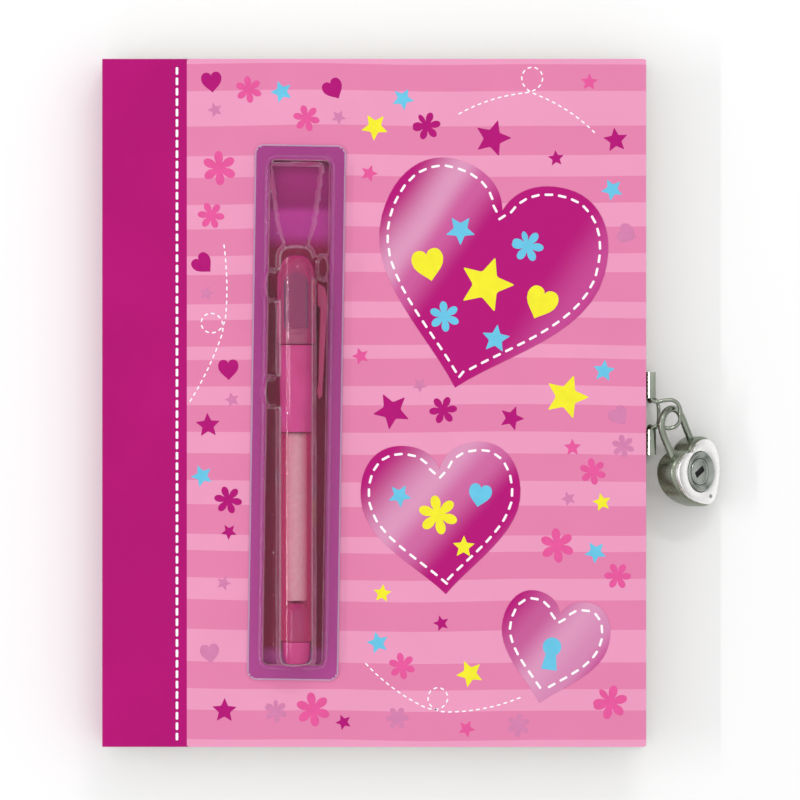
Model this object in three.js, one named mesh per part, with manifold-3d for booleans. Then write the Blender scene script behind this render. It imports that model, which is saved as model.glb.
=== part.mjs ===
// Secret diary: a hardback notebook with a pen in a clear blister and a heart padlock on its fore-edge.
// Units are millimetres. The book lies on its back cover: +X to the fore-edge, +Y to the head, +Z up.
// The origin is the centre of the back cover's outer face.
import * as THREE from 'three';
import { mergeVertices } from 'three/addons/utils/BufferGeometryUtils.js';
import Module from 'manifold-3d';

const wasm = await Module();
wasm.setup();

// Driving dimensions of the case and its pages
const coverWidth = 170;
const coverHeight = 215;
const bookThickness = 20;
const paperThickness = 0.4;
const boardThickness = 2.4;
const endpaperThickness = 0.3;
const coverCornerRadius = 0.8;
const spineBoardThickness = 2.1;
const hingeGap = 1.5;
const spineStripWidth = 26.5;
const foreEdgeSquare = 4;
const headSquare = 3.5;
const leafGutter = 1.2;
const leafThickness = 0.4;
const leafGap = 0.3;
const blockSpineGap = 0.6;
const spineLiningThickness = 0.3;
const endpaperInset = 3;

// Driving dimensions of the blister and the well behind it
const blisterCentreX = -24.2;
const blisterTurn = THREE.MathUtils.degToRad(-0.86);
const blisterWidth = 28.5;
const blisterTailMargin = 4.4;
const blisterTipRoom = 31.3;
const blisterCorner = 3;
const flangeSide = 3.6;
const flangeEnd = 3.6;
const blisterWall = 0.6;
const flangeThickness = 0.4;
const trayRise = 6.5;
const trayDraft = 0.8;
const backingCardThickness = 0.3;
const wellClearance = 0.8;
const wellLinerThickness = 0.3;
const domeClearance = 0.6;
const hopperRise = 9.5;
const hopperTopWidth = 18.5;
const neckTopWidth = 13;
const neckWidth = 8.7;
const hopperLength = 20;
const neckLength = 7.5;
const hopperInDome = 6;

// Driving dimensions of the pen, along its own axis from the barrel's shoulder
const penX = blisterCentreX;
const penShoulderY = -9.1;
const barrelRadius = 5.2;
const barrelBore = 4;
const barrelLength = 65;
const gripRadius = 3.9;
const gripLength = 17;
const gripBore = 2.6;
const nibRadius = 1.3;
const nibStickOut = 5;
const reservoirRadius = 3.3;
const reservoirGap = 0.5;
const endPlugRadius = 4.1;
const endPlugTail = 7.4;
const endPlugInsert = 12;
const plugFit = 0.3;
const sleeveRadius = 5.35;
const sleeveBore = 4.3;
const sleeveLength = 27.2;
const sleeveEndWall = 1.6;
const headRadius = 6.1;
const headBore = 4.5;
const headLength = 28;
const cellRadius = 3.95;
const cellThickness = 3;
const cellCount = 3;
const cellSpacing = 0.3;
const ledRadius = 2.5;
const ledLength = 7;
const buttonWidth = 7.6;
const buttonLength = 17.5;
const buttonThickness = 1.2;
const buttonTravel = 0.6;
const buttonFit = 0.3;
const buttonSink = 0.9;
const buttonSeatFloor = 0.8;
const clipLength = 35;
const clipWidth = 2.6;
const clipThickness = 2.4;
const clipStandOff = 1.2;
const penSeatGap = 0.3;

// Driving dimensions of the hasps and their wire loops
const knuckleRadius = 1.6;
const knuckleBore = 0.9;
const wireRadius = 0.6;
const upperKnuckleTop = 9.6;
const upperKnuckleEnd = 1.5;
const lowerKnuckleEnd = -8.4;
const lowerKnuckleBottom = -16.2;
const haspPlateDepth = 12;
const haspPlateThickness = 0.6;
const haspPlateLap = 0.6;
const frontLoopTilt = THREE.MathUtils.degToRad(-5);
const backLoopTilt = THREE.MathUtils.degToRad(72);
const wireSides = 8;
const wireSteps = 44;

// Driving dimensions of the padlock, in its own frame: the centre of the shackle's arch
const archOut = 8.41;
const archY = -7.09;
const archZ = 16.66;
const lockAzimuth = THREE.MathUtils.degToRad(-67.4);
const lockDroop = THREE.MathUtils.degToRad(21.5);
const lockFaceAzimuth = THREE.MathUtils.degToRad(41.4);
const shackleRadius = 5.3;
const shackleWire = 1.1;
const shackleReach = 8;
const heelDepth = 7;
const toeDepth = 3.2;
const shackleHoleFit = 0.3;
const heartWidth = 22.5;
const heartHeight = 21;
const caseThickness = 7.2;
const facePlateThickness = 1.4;
const caseEdgeRound = 1.3;
const plugRadius = 4;
const plugBodyRadius = 3;
const plugFace = 1.1;
const plugBodyLength = 4.6;
const plugFitGap = 0.3;
const collarRadius = 6.3;
const collarRise = 0.5;
const keywayWidth = 1.5;
const keywayLength = 4.6;
const plugBelowLobes = 9;
const facePinRadius = 0.55;
const facePinRise = 0.2;
const facePinInset = 3.1;
const facePinTipInset = 2.6;

// Driving dimensions of the three foil hearts: centre across and above the foot, width, height, turn in degrees
const foilThickness = 0.15;
const foilHearts = [
  { name: 'foil_heart_large', x: 34.2, above: 145.6, width: 72, height: 69, turn: -15 },
  { name: 'foil_heart_medium', x: 21.2, above: 71.2, width: 50, height: 47, turn: 3 },
  { name: 'foil_heart_small', x: 55.5, above: 30.3, width: 34, height: 34, turn: -13 },
];

// Heights worked out from the driving dimensions
const backBoardBottom = paperThickness;
const backBoardTop = backBoardBottom + boardThickness;
const backEndpaperTop = backBoardTop + endpaperThickness;
const frontSheetBottom = bookThickness - paperThickness;
const frontBoardBottom = frontSheetBottom - boardThickness;
const frontEndpaperBottom = frontBoardBottom - endpaperThickness;
const flyleafTop = frontEndpaperBottom - leafGap;
const flyleafBottom = flyleafTop - leafThickness;
const titleLeafTop = flyleafBottom - leafGap;
const titleLeafBottom = titleLeafTop - leafThickness;
const blockTop = titleLeafBottom - leafGap;

const foreEdge = coverWidth / 2;
const spineFace = -coverWidth / 2;
const spineInner = spineFace + paperThickness + spineBoardThickness;
const boardSpineEdge = spineInner + hingeGap;
const head = coverHeight / 2;
const blockSpine = spineInner + spineLiningThickness + blockSpineGap;
const blockFore = foreEdge - foreEdgeSquare;
const blockHead = head - headSquare;
const leafSpine = blockSpine + leafGutter;

// Solids: every helper returns a manifold solid
function solidFrom(geometry) {
  const bare = geometry.index ? geometry.toNonIndexed() : geometry.clone();
  bare.deleteAttribute('normal');
  bare.deleteAttribute('uv');
  const merged = mergeVertices(bare, 1e-4);
  const mesh = new wasm.Mesh({
    numProp: 3,
    vertProperties: new Float32Array(merged.attributes.position.array),
    triVerts: new Uint32Array(merged.index.array),
  });
  return new wasm.Manifold(mesh);
}

function geometryFrom(solid) {
  const mesh = solid.getMesh();
  const geometry = new THREE.BufferGeometry();
  geometry.setAttribute('position', new THREE.BufferAttribute(new Float32Array(mesh.vertProperties), 3));
  geometry.setIndex(new THREE.BufferAttribute(new Uint32Array(mesh.triVerts), 1));
  return geometry;
}

function box(x0, x1, y0, y1, z0, z1) {
  const geometry = new THREE.BoxGeometry(x1 - x0, y1 - y0, z1 - z0);
  geometry.translate((x0 + x1) / 2, (y0 + y1) / 2, (z0 + z1) / 2);
  return solidFrom(geometry);
}

function roundedOutline(width, height, radius, x = 0, y = 0) {
  const left = x - width / 2;
  const right = x + width / 2;
  const low = y - height / 2;
  const high = y + height / 2;
  const shape = new THREE.Shape();
  shape.moveTo(left + radius, low);
  shape.lineTo(right - radius, low);
  shape.absarc(right - radius, low + radius, radius, -Math.PI / 2, 0);
  shape.lineTo(right, high - radius);
  shape.absarc(right - radius, high - radius, radius, 0, Math.PI / 2);
  shape.lineTo(left + radius, high);
  shape.absarc(left + radius, high - radius, radius, Math.PI / 2, Math.PI);
  shape.lineTo(left, low + radius);
  shape.absarc(left + radius, low + radius, radius, Math.PI, Math.PI * 1.5);
  return shape;
}

function slab(shape, z0, z1, curveSegments = 4) {
  const geometry = new THREE.ExtrudeGeometry(shape, { depth: z1 - z0, bevelEnabled: false, curveSegments });
  geometry.translate(0, 0, z0);
  return solidFrom(geometry);
}

// A solid turned from a closed profile of [radius, distance along Y] points about the Y axis
function turned(profile, sides = 28) {
  const points = profile.map(([radius, along]) => new THREE.Vector2(radius, along));
  return solidFrom(new THREE.LatheGeometry(points, sides));
}

function rod(radius, y0, y1, sides = 28) {
  return turned([[0, y0], [radius, y0], [radius, y1], [0, y1]], sides);
}

// A rounded-rectangle frustum: its outline shrinks by draft on every side as it rises
function frustum(width, height, radius, z0, z1, draft) {
  const steps = 3;
  const ringOf = (shrink, z) => {
    const outline = roundedOutline(width - 2 * shrink, height - 2 * shrink, radius - shrink * 0.5);
    return outline.extractPoints(steps).shape.slice(0, -1).map((p) => new THREE.Vector3(p.x, p.y, z));
  };
  return loft([ringOf(0, z0), ringOf(draft, z1)]);
}

// A closed skin through rings of equal point counts, with a fan on each end
function loft(rings) {
  const positions = [];
  const push = (a, b, c) => positions.push(...a.toArray(), ...b.toArray(), ...c.toArray());
  const middle = (ring) => ring.reduce((sum, p) => sum.add(p), new THREE.Vector3()).divideScalar(ring.length);
  const count = rings[0].length;
  for (let level = 0; level + 1 < rings.length; level += 1) {
    const low = rings[level];
    const high = rings[level + 1];
    for (let i = 0; i < count; i += 1) {
      const j = (i + 1) % count;
      push(low[i], low[j], high[j]);
      push(low[i], high[j], high[i]);
    }
  }
  const first = rings[0];
  const last = rings[rings.length - 1];
  const firstMiddle = middle(first);
  const lastMiddle = middle(last);
  for (let i = 0; i < count; i += 1) {
    const j = (i + 1) % count;
    push(firstMiddle, first[j], first[i]);
    push(lastMiddle, last[i], last[j]);
  }
  const geometry = new THREE.BufferGeometry();
  geometry.setAttribute('position', new THREE.Float32BufferAttribute(positions, 3));
  return solidFrom(geometry);
}

function tube(points, radius, sides, steps) {
  const path = new THREE.CatmullRomCurve3(points, false, 'centripetal');
  const section = new THREE.Shape();
  section.absarc(0, 0, radius, 0, Math.PI * 2);
  const geometry = new THREE.ExtrudeGeometry(section, {
    steps,
    curveSegments: sides,
    bevelEnabled: false,
    extrudePath: path,
  });
  return solidFrom(geometry);
}

function heartOutline(width, height) {
  const half = width / 2;
  const lobe = height * 0.5;
  const notch = height * 0.33;
  const tip = -height * 0.5;
  const shape = new THREE.Shape();
  shape.moveTo(0, tip);
  shape.bezierCurveTo(half * 0.34, tip + height * 0.2, half, -height * 0.12, half, height * 0.17);
  shape.bezierCurveTo(half, height * 0.38, half * 0.78, lobe, half * 0.5, lobe);
  shape.bezierCurveTo(half * 0.25, lobe, half * 0.06, height * 0.44, 0, notch);
  shape.bezierCurveTo(-half * 0.06, height * 0.44, -half * 0.25, lobe, -half * 0.5, lobe);
  shape.bezierCurveTo(-half * 0.78, lobe, -half, height * 0.38, -half, height * 0.17);
  shape.bezierCurveTo(-half, -height * 0.12, -half * 0.34, tip + height * 0.2, 0, tip);
  return shape;
}

const diary = new THREE.Group();
const finishes = {
  coverPrint: { color: 0xe87fb0, roughness: 0.38, metalness: 0 },
  magenta: { color: 0xb51278, roughness: 0.4, metalness: 0 },
  board: { color: 0x9c8f80, roughness: 0.9, metalness: 0 },
  paper: { color: 0xf6f1e6, roughness: 0.85, metalness: 0 },
  endpaper: { color: 0xf3b3cf, roughness: 0.8, metalness: 0 },
  mull: { color: 0xe6e2d6, roughness: 0.95, metalness: 0 },
  foil: { color: 0xb01277, roughness: 0.22, metalness: 0.5 },
  clear: { color: 0xf2e6f0, roughness: 0.08, metalness: 0, transparent: true, opacity: 0.3 },
  violet: { color: 0xa83e8b, roughness: 0.45, metalness: 0 },
  well: { color: 0x6e2342, roughness: 0.6, metalness: 0 },
  penPink: { color: 0xd43a85, roughness: 0.3, metalness: 0 },
  penClear: { color: 0xe0609c, roughness: 0.1, metalness: 0, transparent: true, opacity: 0.45 },
  ink: { color: 0xe6bcb4, roughness: 0.7, metalness: 0 },
  steel: { color: 0xbfc2bb, roughness: 0.2, metalness: 1 },
  polished: { color: 0xe4e6e2, roughness: 0.08, metalness: 1 },
  dark: { color: 0x17181a, roughness: 0.5, metalness: 0.3 },
};

function piece(parent, name, solid, finish) {
  const mesh = new THREE.Mesh(geometryFrom(solid), new THREE.MeshStandardMaterial(finishes[finish]));
  mesh.name = name;
  parent.add(mesh);
  return mesh;
}

// Along the pen: negative Y is its tail, positive Y its capped tip
const penTailY = penShoulderY - barrelLength;
const headStartY = penShoulderY + sleeveLength;
const headEndY = headStartY + headLength;
const capTravel = 2.5;
const domeRadius = headRadius + domeClearance;
const domeTailY = penTailY - endPlugTail - domeClearance;
const domeTipY = headEndY + capTravel + domeClearance;

// The blister reaches past both ends of the pen's dome
const blisterTailY = domeTailY - blisterTailMargin;
const blisterTipY = domeTipY + blisterTipRoom;
const blisterHeight = blisterTipY - blisterTailY;
const blisterCentreY = (blisterTipY + blisterTailY) / 2;

// Frame of the blister: its own middle on the cover, turned a little as it is glued on
function onBlister(solid) {
  return solid.rotate([0, 0, THREE.MathUtils.radToDeg(blisterTurn)]).translate([blisterCentreX, blisterCentreY, 0]);
}

// The window through sheet and board that makes the well under the pen
const trayWidth = blisterWidth - 2 * flangeSide;
const trayHeight = blisterHeight - 2 * flangeEnd;
const wellWidth = trayWidth - 2 * wellClearance;
const wellHeight = trayHeight - 2 * wellClearance;
const wellWindow = onBlister(slab(
  roundedOutline(wellWidth, wellHeight, blisterCorner - wellClearance),
  frontBoardBottom - 1,
  bookThickness + 1,
));

// Case of the book: printed sheet, grey board and endpaper on each side, and the spine between them
function caseSheet(z0, z1, x0 = boardSpineEdge) {
  const width = foreEdge - x0;
  return slab(roundedOutline(width, coverHeight, coverCornerRadius, x0 + width / 2, 0), z0, z1);
}

const stripEdge = spineFace + spineStripWidth;
const haspCentreY = (upperKnuckleTop + lowerKnuckleBottom) / 2;
const haspPlateHeight = upperKnuckleTop - lowerKnuckleBottom;
const knuckleX = foreEdge + knuckleRadius;
const frontKnuckleZ = bookThickness - knuckleRadius;
const backKnuckleZ = knuckleRadius + 0.1;
const haspPlateEdge = foreEdge - haspPlateDepth;

function haspPocket(z0, z1) {
  return box(haspPlateEdge, foreEdge + 1, lowerKnuckleBottom, upperKnuckleTop, z0, z1);
}

const frontPlateTop = frontBoardBottom + haspPlateThickness;
const backPlateBottom = backBoardTop - haspPlateThickness;

function printSheet(z0, z1) {
  const width = foreEdge - stripEdge;
  return slab(roundedOutline(width, coverHeight, coverCornerRadius, stripEdge + width / 2, 0), z0, z1);
}
function spineStrip(z0, z1) {
  return box(boardSpineEdge, stripEdge, -head, head, z0, z1);
}

piece(diary, 'back_print_sheet', printSheet(0, paperThickness), 'coverPrint');
piece(diary, 'back_spine_strip', spineStrip(0, paperThickness), 'magenta');
piece(diary, 'back_board', caseSheet(backBoardBottom, backBoardTop).subtract(
  haspPocket(backPlateBottom, backBoardTop + 1),
), 'board');
piece(diary, 'back_endpaper', box(
  boardSpineEdge,
  foreEdge - endpaperInset,
  -head + endpaperInset,
  head - endpaperInset,
  backBoardTop,
  backEndpaperTop,
), 'endpaper');
piece(diary, 'spine_board', box(
  spineFace + paperThickness,
  spineInner,
  -head,
  head,
  paperThickness,
  bookThickness - paperThickness,
), 'board');
piece(diary, 'spine_wrap', box(spineFace, spineInner, -head, head, 0, bookThickness).subtract(
  box(spineFace + paperThickness, foreEdge, -coverHeight, coverHeight, paperThickness, bookThickness - paperThickness),
), 'magenta');

// Pages: the sewn block, the lining on its back and two loose leaves in front of it
function leaf(z0, z1, spineEdge = leafSpine) {
  return box(spineEdge, blockFore, -blockHead, blockHead, z0, z1);
}
piece(diary, 'page_block', leaf(backEndpaperTop, blockTop, blockSpine), 'paper');
piece(diary, 'spine_lining', box(
  blockSpine - spineLiningThickness,
  blockSpine,
  -blockHead,
  blockHead,
  backEndpaperTop,
  blockTop,
), 'mull');
piece(diary, 'title_leaf', leaf(titleLeafBottom, titleLeafTop), 'paper');
piece(diary, 'flyleaf', leaf(flyleafBottom, flyleafTop), 'endpaper');

// Front cover
piece(diary, 'front_print_sheet', printSheet(frontSheetBottom, bookThickness).subtract(wellWindow), 'coverPrint');
piece(diary, 'front_spine_strip', spineStrip(frontSheetBottom, bookThickness), 'magenta');
piece(diary, 'front_board', caseSheet(frontBoardBottom, frontSheetBottom)
  .subtract(wellWindow)
  .subtract(haspPocket(frontBoardBottom - 1, frontPlateTop)), 'board');
piece(diary, 'front_endpaper', box(
  boardSpineEdge,
  foreEdge - endpaperInset,
  -head + endpaperInset,
  head - endpaperInset,
  frontEndpaperBottom,
  frontBoardBottom,
), 'endpaper');

// Foil hearts stamped on the printed sheet
for (const heart of foilHearts) {
  const outline = heartOutline(heart.width, heart.height);
  const foil = slab(outline, bookThickness, bookThickness + foilThickness, 12);
  piece(diary, heart.name, foil.rotate([0, 0, heart.turn]).translate([heart.x, heart.above - head, 0]), 'foil');
}

// Blister: violet backing card, the well's liner and the clear moulding
const cardTop = bookThickness + backingCardThickness;
const flangeTop = cardTop + flangeThickness;
const linerTop = frontBoardBottom + wellLinerThickness;
const penZ = linerTop + headRadius + penSeatGap;
const linerFit = 0.3;

piece(diary, 'well_liner', onBlister(slab(
  roundedOutline(wellWidth - 2 * linerFit, wellHeight - 2 * linerFit, blisterCorner - wellClearance - linerFit),
  frontBoardBottom,
  linerTop,
)), 'well');
piece(diary, 'backing_card', onBlister(slab(
  roundedOutline(blisterWidth, blisterHeight, blisterCorner),
  bookThickness,
  cardTop,
)).subtract(wellWindow), 'violet');

function blisterForm(inset, bottom) {
  const tray = onBlister(frustum(
    trayWidth - 2 * inset,
    trayHeight - 2 * inset,
    blisterCorner - inset,
    bottom,
    cardTop + trayRise - inset,
    trayDraft,
  ));
  const domeOuter = domeRadius + blisterWall - inset;
  const round = 2.5;
  const dome = turned([
    [0, domeTailY - blisterWall + inset],
    [domeOuter - round, domeTailY - blisterWall + inset],
    [domeOuter, domeTailY - blisterWall + inset + round],
    [domeOuter, domeTipY + blisterWall - inset - round * 1.6],
    [domeOuter - round, domeTipY + blisterWall - inset],
    [0, domeTipY + blisterWall - inset],
  ], 32).translate([penX, 0, penZ]);
  const trayTip = blisterCentreY + trayHeight / 2 - trayDraft - inset - 1;
  const roof = cardTop + hopperRise - inset;
  const ring = (width, y, top) => [
    new THREE.Vector3(penX - width / 2 + inset, y, cardTop + 1),
    new THREE.Vector3(penX + width / 2 - inset, y, cardTop + 1),
    new THREE.Vector3(penX + width / 2 - inset - 0.8, y, top),
    new THREE.Vector3(penX - width / 2 + inset + 0.8, y, top),
  ];
  const hopper = loft([
    ring(hopperTopWidth, trayTip, roof - 1),
    ring(neckTopWidth, trayTip - hopperLength, roof),
    ring(neckWidth, trayTip - hopperLength - neckLength, roof - 1.2),
    ring(neckWidth, domeTipY - hopperInDome, roof - 1.2),
  ]);
  const above = box(-coverWidth, coverWidth, -coverHeight, coverHeight, bottom, bookThickness * 3);
  return tray.add(dome.intersect(above)).add(hopper);
}
const flange = onBlister(slab(
  roundedOutline(blisterWidth, blisterHeight, blisterCorner),
  cardTop,
  flangeTop,
));
piece(diary, 'blister', blisterForm(0, cardTop).add(flange).subtract(blisterForm(blisterWall, cardTop - 1)), 'clear');

// Pen, turned about its axis and laid at its height in the well
function onPen(solid) {
  return solid.translate([penX, 0, penZ]);
}
piece(diary, 'pen_barrel', onPen(turned([
  [barrelBore, penTailY],
  [barrelRadius - 0.4, penTailY],
  [barrelRadius, penTailY + 0.6],
  [barrelRadius, penShoulderY - plugFit],
  [gripRadius, penShoulderY - plugFit],
  [gripRadius - 0.3, penShoulderY + gripLength - 3],
  [gripBore - 0.2, penShoulderY + gripLength],
  [nibRadius + 0.3, penShoulderY + gripLength],
  [nibRadius + 0.3, penShoulderY + 2],
  [barrelBore, penShoulderY - 2],
  [barrelBore, penTailY],
])), 'penClear');
piece(diary, 'ink_reservoir', onPen(rod(
  reservoirRadius,
  penTailY + endPlugInsert + reservoirGap,
  penShoulderY - 3,
)), 'ink');
piece(diary, 'pen_nib', onPen(turned([
  [0, penShoulderY - 3 + plugFit],
  [nibRadius, penShoulderY - 3 + plugFit],
  [nibRadius, penShoulderY + gripLength + nibStickOut - 2],
  [0.4, penShoulderY + gripLength + nibStickOut],
  [0, penShoulderY + gripLength + nibStickOut],
], 16)), 'ink');
piece(diary, 'pen_end_plug', onPen(turned([
  [0, penTailY - endPlugTail],
  [endPlugRadius - 1.4, penTailY - endPlugTail],
  [endPlugRadius - 0.3, penTailY - endPlugTail + 1.2],
  [endPlugRadius, penTailY - endPlugTail + 3],
  [endPlugRadius + 0.3, penTailY - plugFit],
  [barrelBore - plugFit, penTailY - plugFit],
  [barrelBore - plugFit, penTailY + endPlugInsert],
  [0, penTailY + endPlugInsert],
])), 'penPink');
piece(diary, 'cap_sleeve', onPen(turned([
  [sleeveBore, penShoulderY],
  [sleeveRadius - 0.35, penShoulderY],
  [sleeveRadius, headStartY - 4],
  [sleeveRadius, headStartY],
  [0, headStartY],
  [0, headStartY - sleeveEndWall],
  [sleeveBore, headStartY - sleeveEndWall],
  [sleeveBore, penShoulderY],
])), 'penPink');

// Light head of the cap: clear housing, three cells, the lamp, the push button and the pocket clip
const buttonTopZ = headRadius - buttonSink;
const buttonBottomZ = buttonTopZ - buttonThickness;
const buttonMiddleY = headStartY + 5 + buttonLength / 2;
const pocketFloorZ = buttonBottomZ - buttonTravel - 0.2;
const seatBottomZ = pocketFloorZ - buttonSeatFloor;
function tombstone(width, length, z0, z1) {
  const half = width / 2;
  const shape = new THREE.Shape();
  shape.moveTo(-half, -length / 2);
  shape.lineTo(half, -length / 2);
  shape.lineTo(half, length / 2 - half);
  shape.absarc(0, length / 2 - half, half, 0, Math.PI);
  shape.lineTo(-half, -length / 2);
  return slab(shape, z0, z1, 10).translate([0, buttonMiddleY, 0]);
}
const headShell = turned([
  [headBore, headStartY + 0.3],
  [headRadius - 0.2, headStartY + 0.3],
  [headRadius, headStartY + 3],
  [headRadius, headEndY - 7],
  [headRadius - 1.3, headEndY - 2.4],
  [headRadius - 3.2, headEndY],
  [0, headEndY],
  [0, headEndY - 1.6],
  [headBore - 1.2, headEndY - 3],
  [headBore, headEndY - 7],
  [headBore, headStartY + 0.3],
]);
const buttonSeat = box(
  -buttonWidth / 2 - 1.2,
  buttonWidth / 2 + 1.2,
  buttonMiddleY - buttonLength / 2 - 1.2,
  buttonMiddleY + buttonLength / 2 + 1.2,
  seatBottomZ,
  headRadius - 0.6,
).intersect(rod(headRadius - 0.1, headStartY + 1, headEndY - 6));
piece(diary, 'light_head', onPen(headShell.add(buttonSeat).subtract(
  tombstone(buttonWidth + 2 * buttonFit, buttonLength + 2 * buttonFit, pocketFloorZ, headRadius + 1),
)), 'penClear');
piece(diary, 'light_button', onPen(tombstone(buttonWidth, buttonLength, buttonBottomZ, buttonTopZ)), 'clear');
const cellRoom = box(-headRadius, headRadius, headStartY, headEndY, -headRadius, seatBottomZ - buttonFit);
for (let i = 0; i < cellCount; i += 1) {
  const start = headStartY + 0.3 + i * (cellThickness + cellSpacing);
  const cell = rod(cellRadius, start, start + cellThickness, 20).intersect(cellRoom);
  piece(diary, `button_cell_${i + 1}`, onPen(cell), 'steel');
}
const ledStart = headStartY + 0.3 + cellCount * (cellThickness + cellSpacing);
piece(diary, 'uv_lamp', onPen(turned([
  [0, ledStart],
  [ledRadius + 0.4, ledStart],
  [ledRadius + 0.4, ledStart + 1],
  [ledRadius, ledStart + 1],
  [ledRadius, ledStart + ledLength - 1.5],
  [ledRadius * 0.6, ledStart + ledLength],
  [0, ledStart + ledLength],
], 18).intersect(cellRoom)), 'violet');
const clipTopY = headStartY + 18;
const clipInner = headRadius + clipStandOff;
const clipOutline = new THREE.Shape();
clipOutline.moveTo(headRadius + plugFit, clipTopY - 6);
clipOutline.lineTo(clipInner, clipTopY - 6.6);
clipOutline.lineTo(clipInner - 0.5, clipTopY - clipLength + 4);
clipOutline.quadraticCurveTo(clipInner - 1.3, clipTopY - clipLength + 2, clipInner - 0.2, clipTopY - clipLength);
clipOutline.lineTo(clipInner + 0.9, clipTopY - clipLength + 1);
clipOutline.lineTo(clipInner + clipThickness, clipTopY - 5);
clipOutline.quadraticCurveTo(clipInner + clipThickness, clipTopY, headRadius + plugFit, clipTopY + 1.5);
piece(diary, 'pocket_clip', onPen(slab(clipOutline, -clipWidth / 2, clipWidth / 2, 5)), 'penPink');

// Hasps: a plate let into each board, with two rolled knuckles that hold a wire loop
function hasp(plateBottom, knuckleZ) {
  const plate = box(
    haspPlateEdge,
    foreEdge + haspPlateLap,
    lowerKnuckleBottom,
    upperKnuckleTop,
    plateBottom,
    plateBottom + haspPlateThickness,
  );
  const notch = box(foreEdge, knuckleX + 1, lowerKnuckleEnd, upperKnuckleEnd, plateBottom - 1, plateBottom + 2);
  const knuckle = (y0, y1) => rod(knuckleRadius, y0, y1, 20).translate([knuckleX, 0, knuckleZ]);
  const bore = rod(knuckleBore, lowerKnuckleBottom - 1, upperKnuckleTop + 1, 12).translate([knuckleX, 0, knuckleZ]);
  return plate.subtract(notch)
    .add(knuckle(upperKnuckleEnd, upperKnuckleTop))
    .add(knuckle(lowerKnuckleBottom, lowerKnuckleEnd))
    .subtract(bore);
}

// The wire's route from its knuckle axis: distance out from the axis, and Y
const wireRoute = [
  [0, upperKnuckleTop - 1],
  [0, upperKnuckleEnd + 2.5],
  [0, upperKnuckleEnd + 0.3],
  [1.2, 0.5],
  [4.4, 0.8],
  [7.3, 0.7],
  [9, -1.2],
  [9.3, -3.8],
  [8.6, -6.6],
  [6.2, -7.9],
  [3.4, -7.6],
  [1.2, -7.4],
  [0, lowerKnuckleEnd - 0.3],
  [0, lowerKnuckleEnd - 2.5],
  [0, lowerKnuckleBottom + 1],
];
function wireLoop(tilt, knuckleZ) {
  const points = wireRoute.map(([out, y]) => new THREE.Vector3(
    knuckleX + out * Math.cos(tilt),
    y,
    knuckleZ + out * Math.sin(tilt),
  ));
  return tube(points, wireRadius, wireSides, wireSteps);
}
piece(diary, 'front_hasp', hasp(frontBoardBottom, frontKnuckleZ), 'steel');
piece(diary, 'front_loop', wireLoop(frontLoopTilt, frontKnuckleZ), 'steel');
piece(diary, 'back_hasp', hasp(backPlateBottom, backKnuckleZ), 'steel');
piece(diary, 'back_loop', wireLoop(backLoopTilt, backKnuckleZ), 'steel');

// Padlock, built upright about the centre of its shackle's arch and laid on its side by a turned group
const lockDown = new THREE.Vector3(
  Math.cos(lockDroop) * Math.cos(lockAzimuth),
  Math.cos(lockDroop) * Math.sin(lockAzimuth),
  -Math.sin(lockDroop),
);
const faceAcross = new THREE.Vector3(Math.cos(lockFaceAzimuth), Math.sin(lockFaceAzimuth), 0);
faceAcross.z = -(lockDown.x * faceAcross.x + lockDown.y * faceAcross.y) / lockDown.z;
faceAcross.normalize();
const lockUp = lockDown.clone().negate();
const faceOut = new THREE.Vector3().crossVectors(faceAcross, lockUp);
const padlock = new THREE.Group();
padlock.quaternion.setFromRotationMatrix(new THREE.Matrix4().makeBasis(faceAcross, lockUp, faceOut));
padlock.position.set(foreEdge + archOut, archY, archZ);
diary.add(padlock);

const lobeTop = -shackleReach;
const heartMiddle = lobeTop - heartHeight / 2;
const plugY = lobeTop - plugBelowLobes;
const caseBack = -(caseThickness + facePlateThickness) / 2;
const caseFront = caseBack + caseThickness;
const plateFront = caseFront + facePlateThickness;

function roundedHeart(width, height, z0, z1, round) {
  const geometry = new THREE.ExtrudeGeometry(heartOutline(width - 2 * round, height - 2 * round), {
    depth: z1 - z0 - 2 * round,
    bevelEnabled: true,
    bevelThickness: round,
    bevelSize: round,
    bevelSegments: 3,
    curveSegments: 7,
  });
  geometry.translate(0, heartMiddle, z0 + round);
  return solidFrom(geometry);
}

const shackleRoute = [];
shackleRoute.push(new THREE.Vector3(-shackleRadius, lobeTop - heelDepth, 0));
shackleRoute.push(new THREE.Vector3(-shackleRadius, lobeTop - 1, 0));
shackleRoute.push(new THREE.Vector3(-shackleRadius, lobeTop / 2, 0));
for (let i = 0; i <= 8; i += 1) {
  const angle = Math.PI - (Math.PI * i) / 8;
  shackleRoute.push(new THREE.Vector3(shackleRadius * Math.cos(angle), shackleRadius * Math.sin(angle), 0));
}
shackleRoute.push(new THREE.Vector3(shackleRadius, lobeTop / 2, 0));
shackleRoute.push(new THREE.Vector3(shackleRadius, lobeTop - toeDepth, 0));
piece(padlock, 'shackle', tube(shackleRoute, shackleWire, 12, 40), 'steel');

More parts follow.
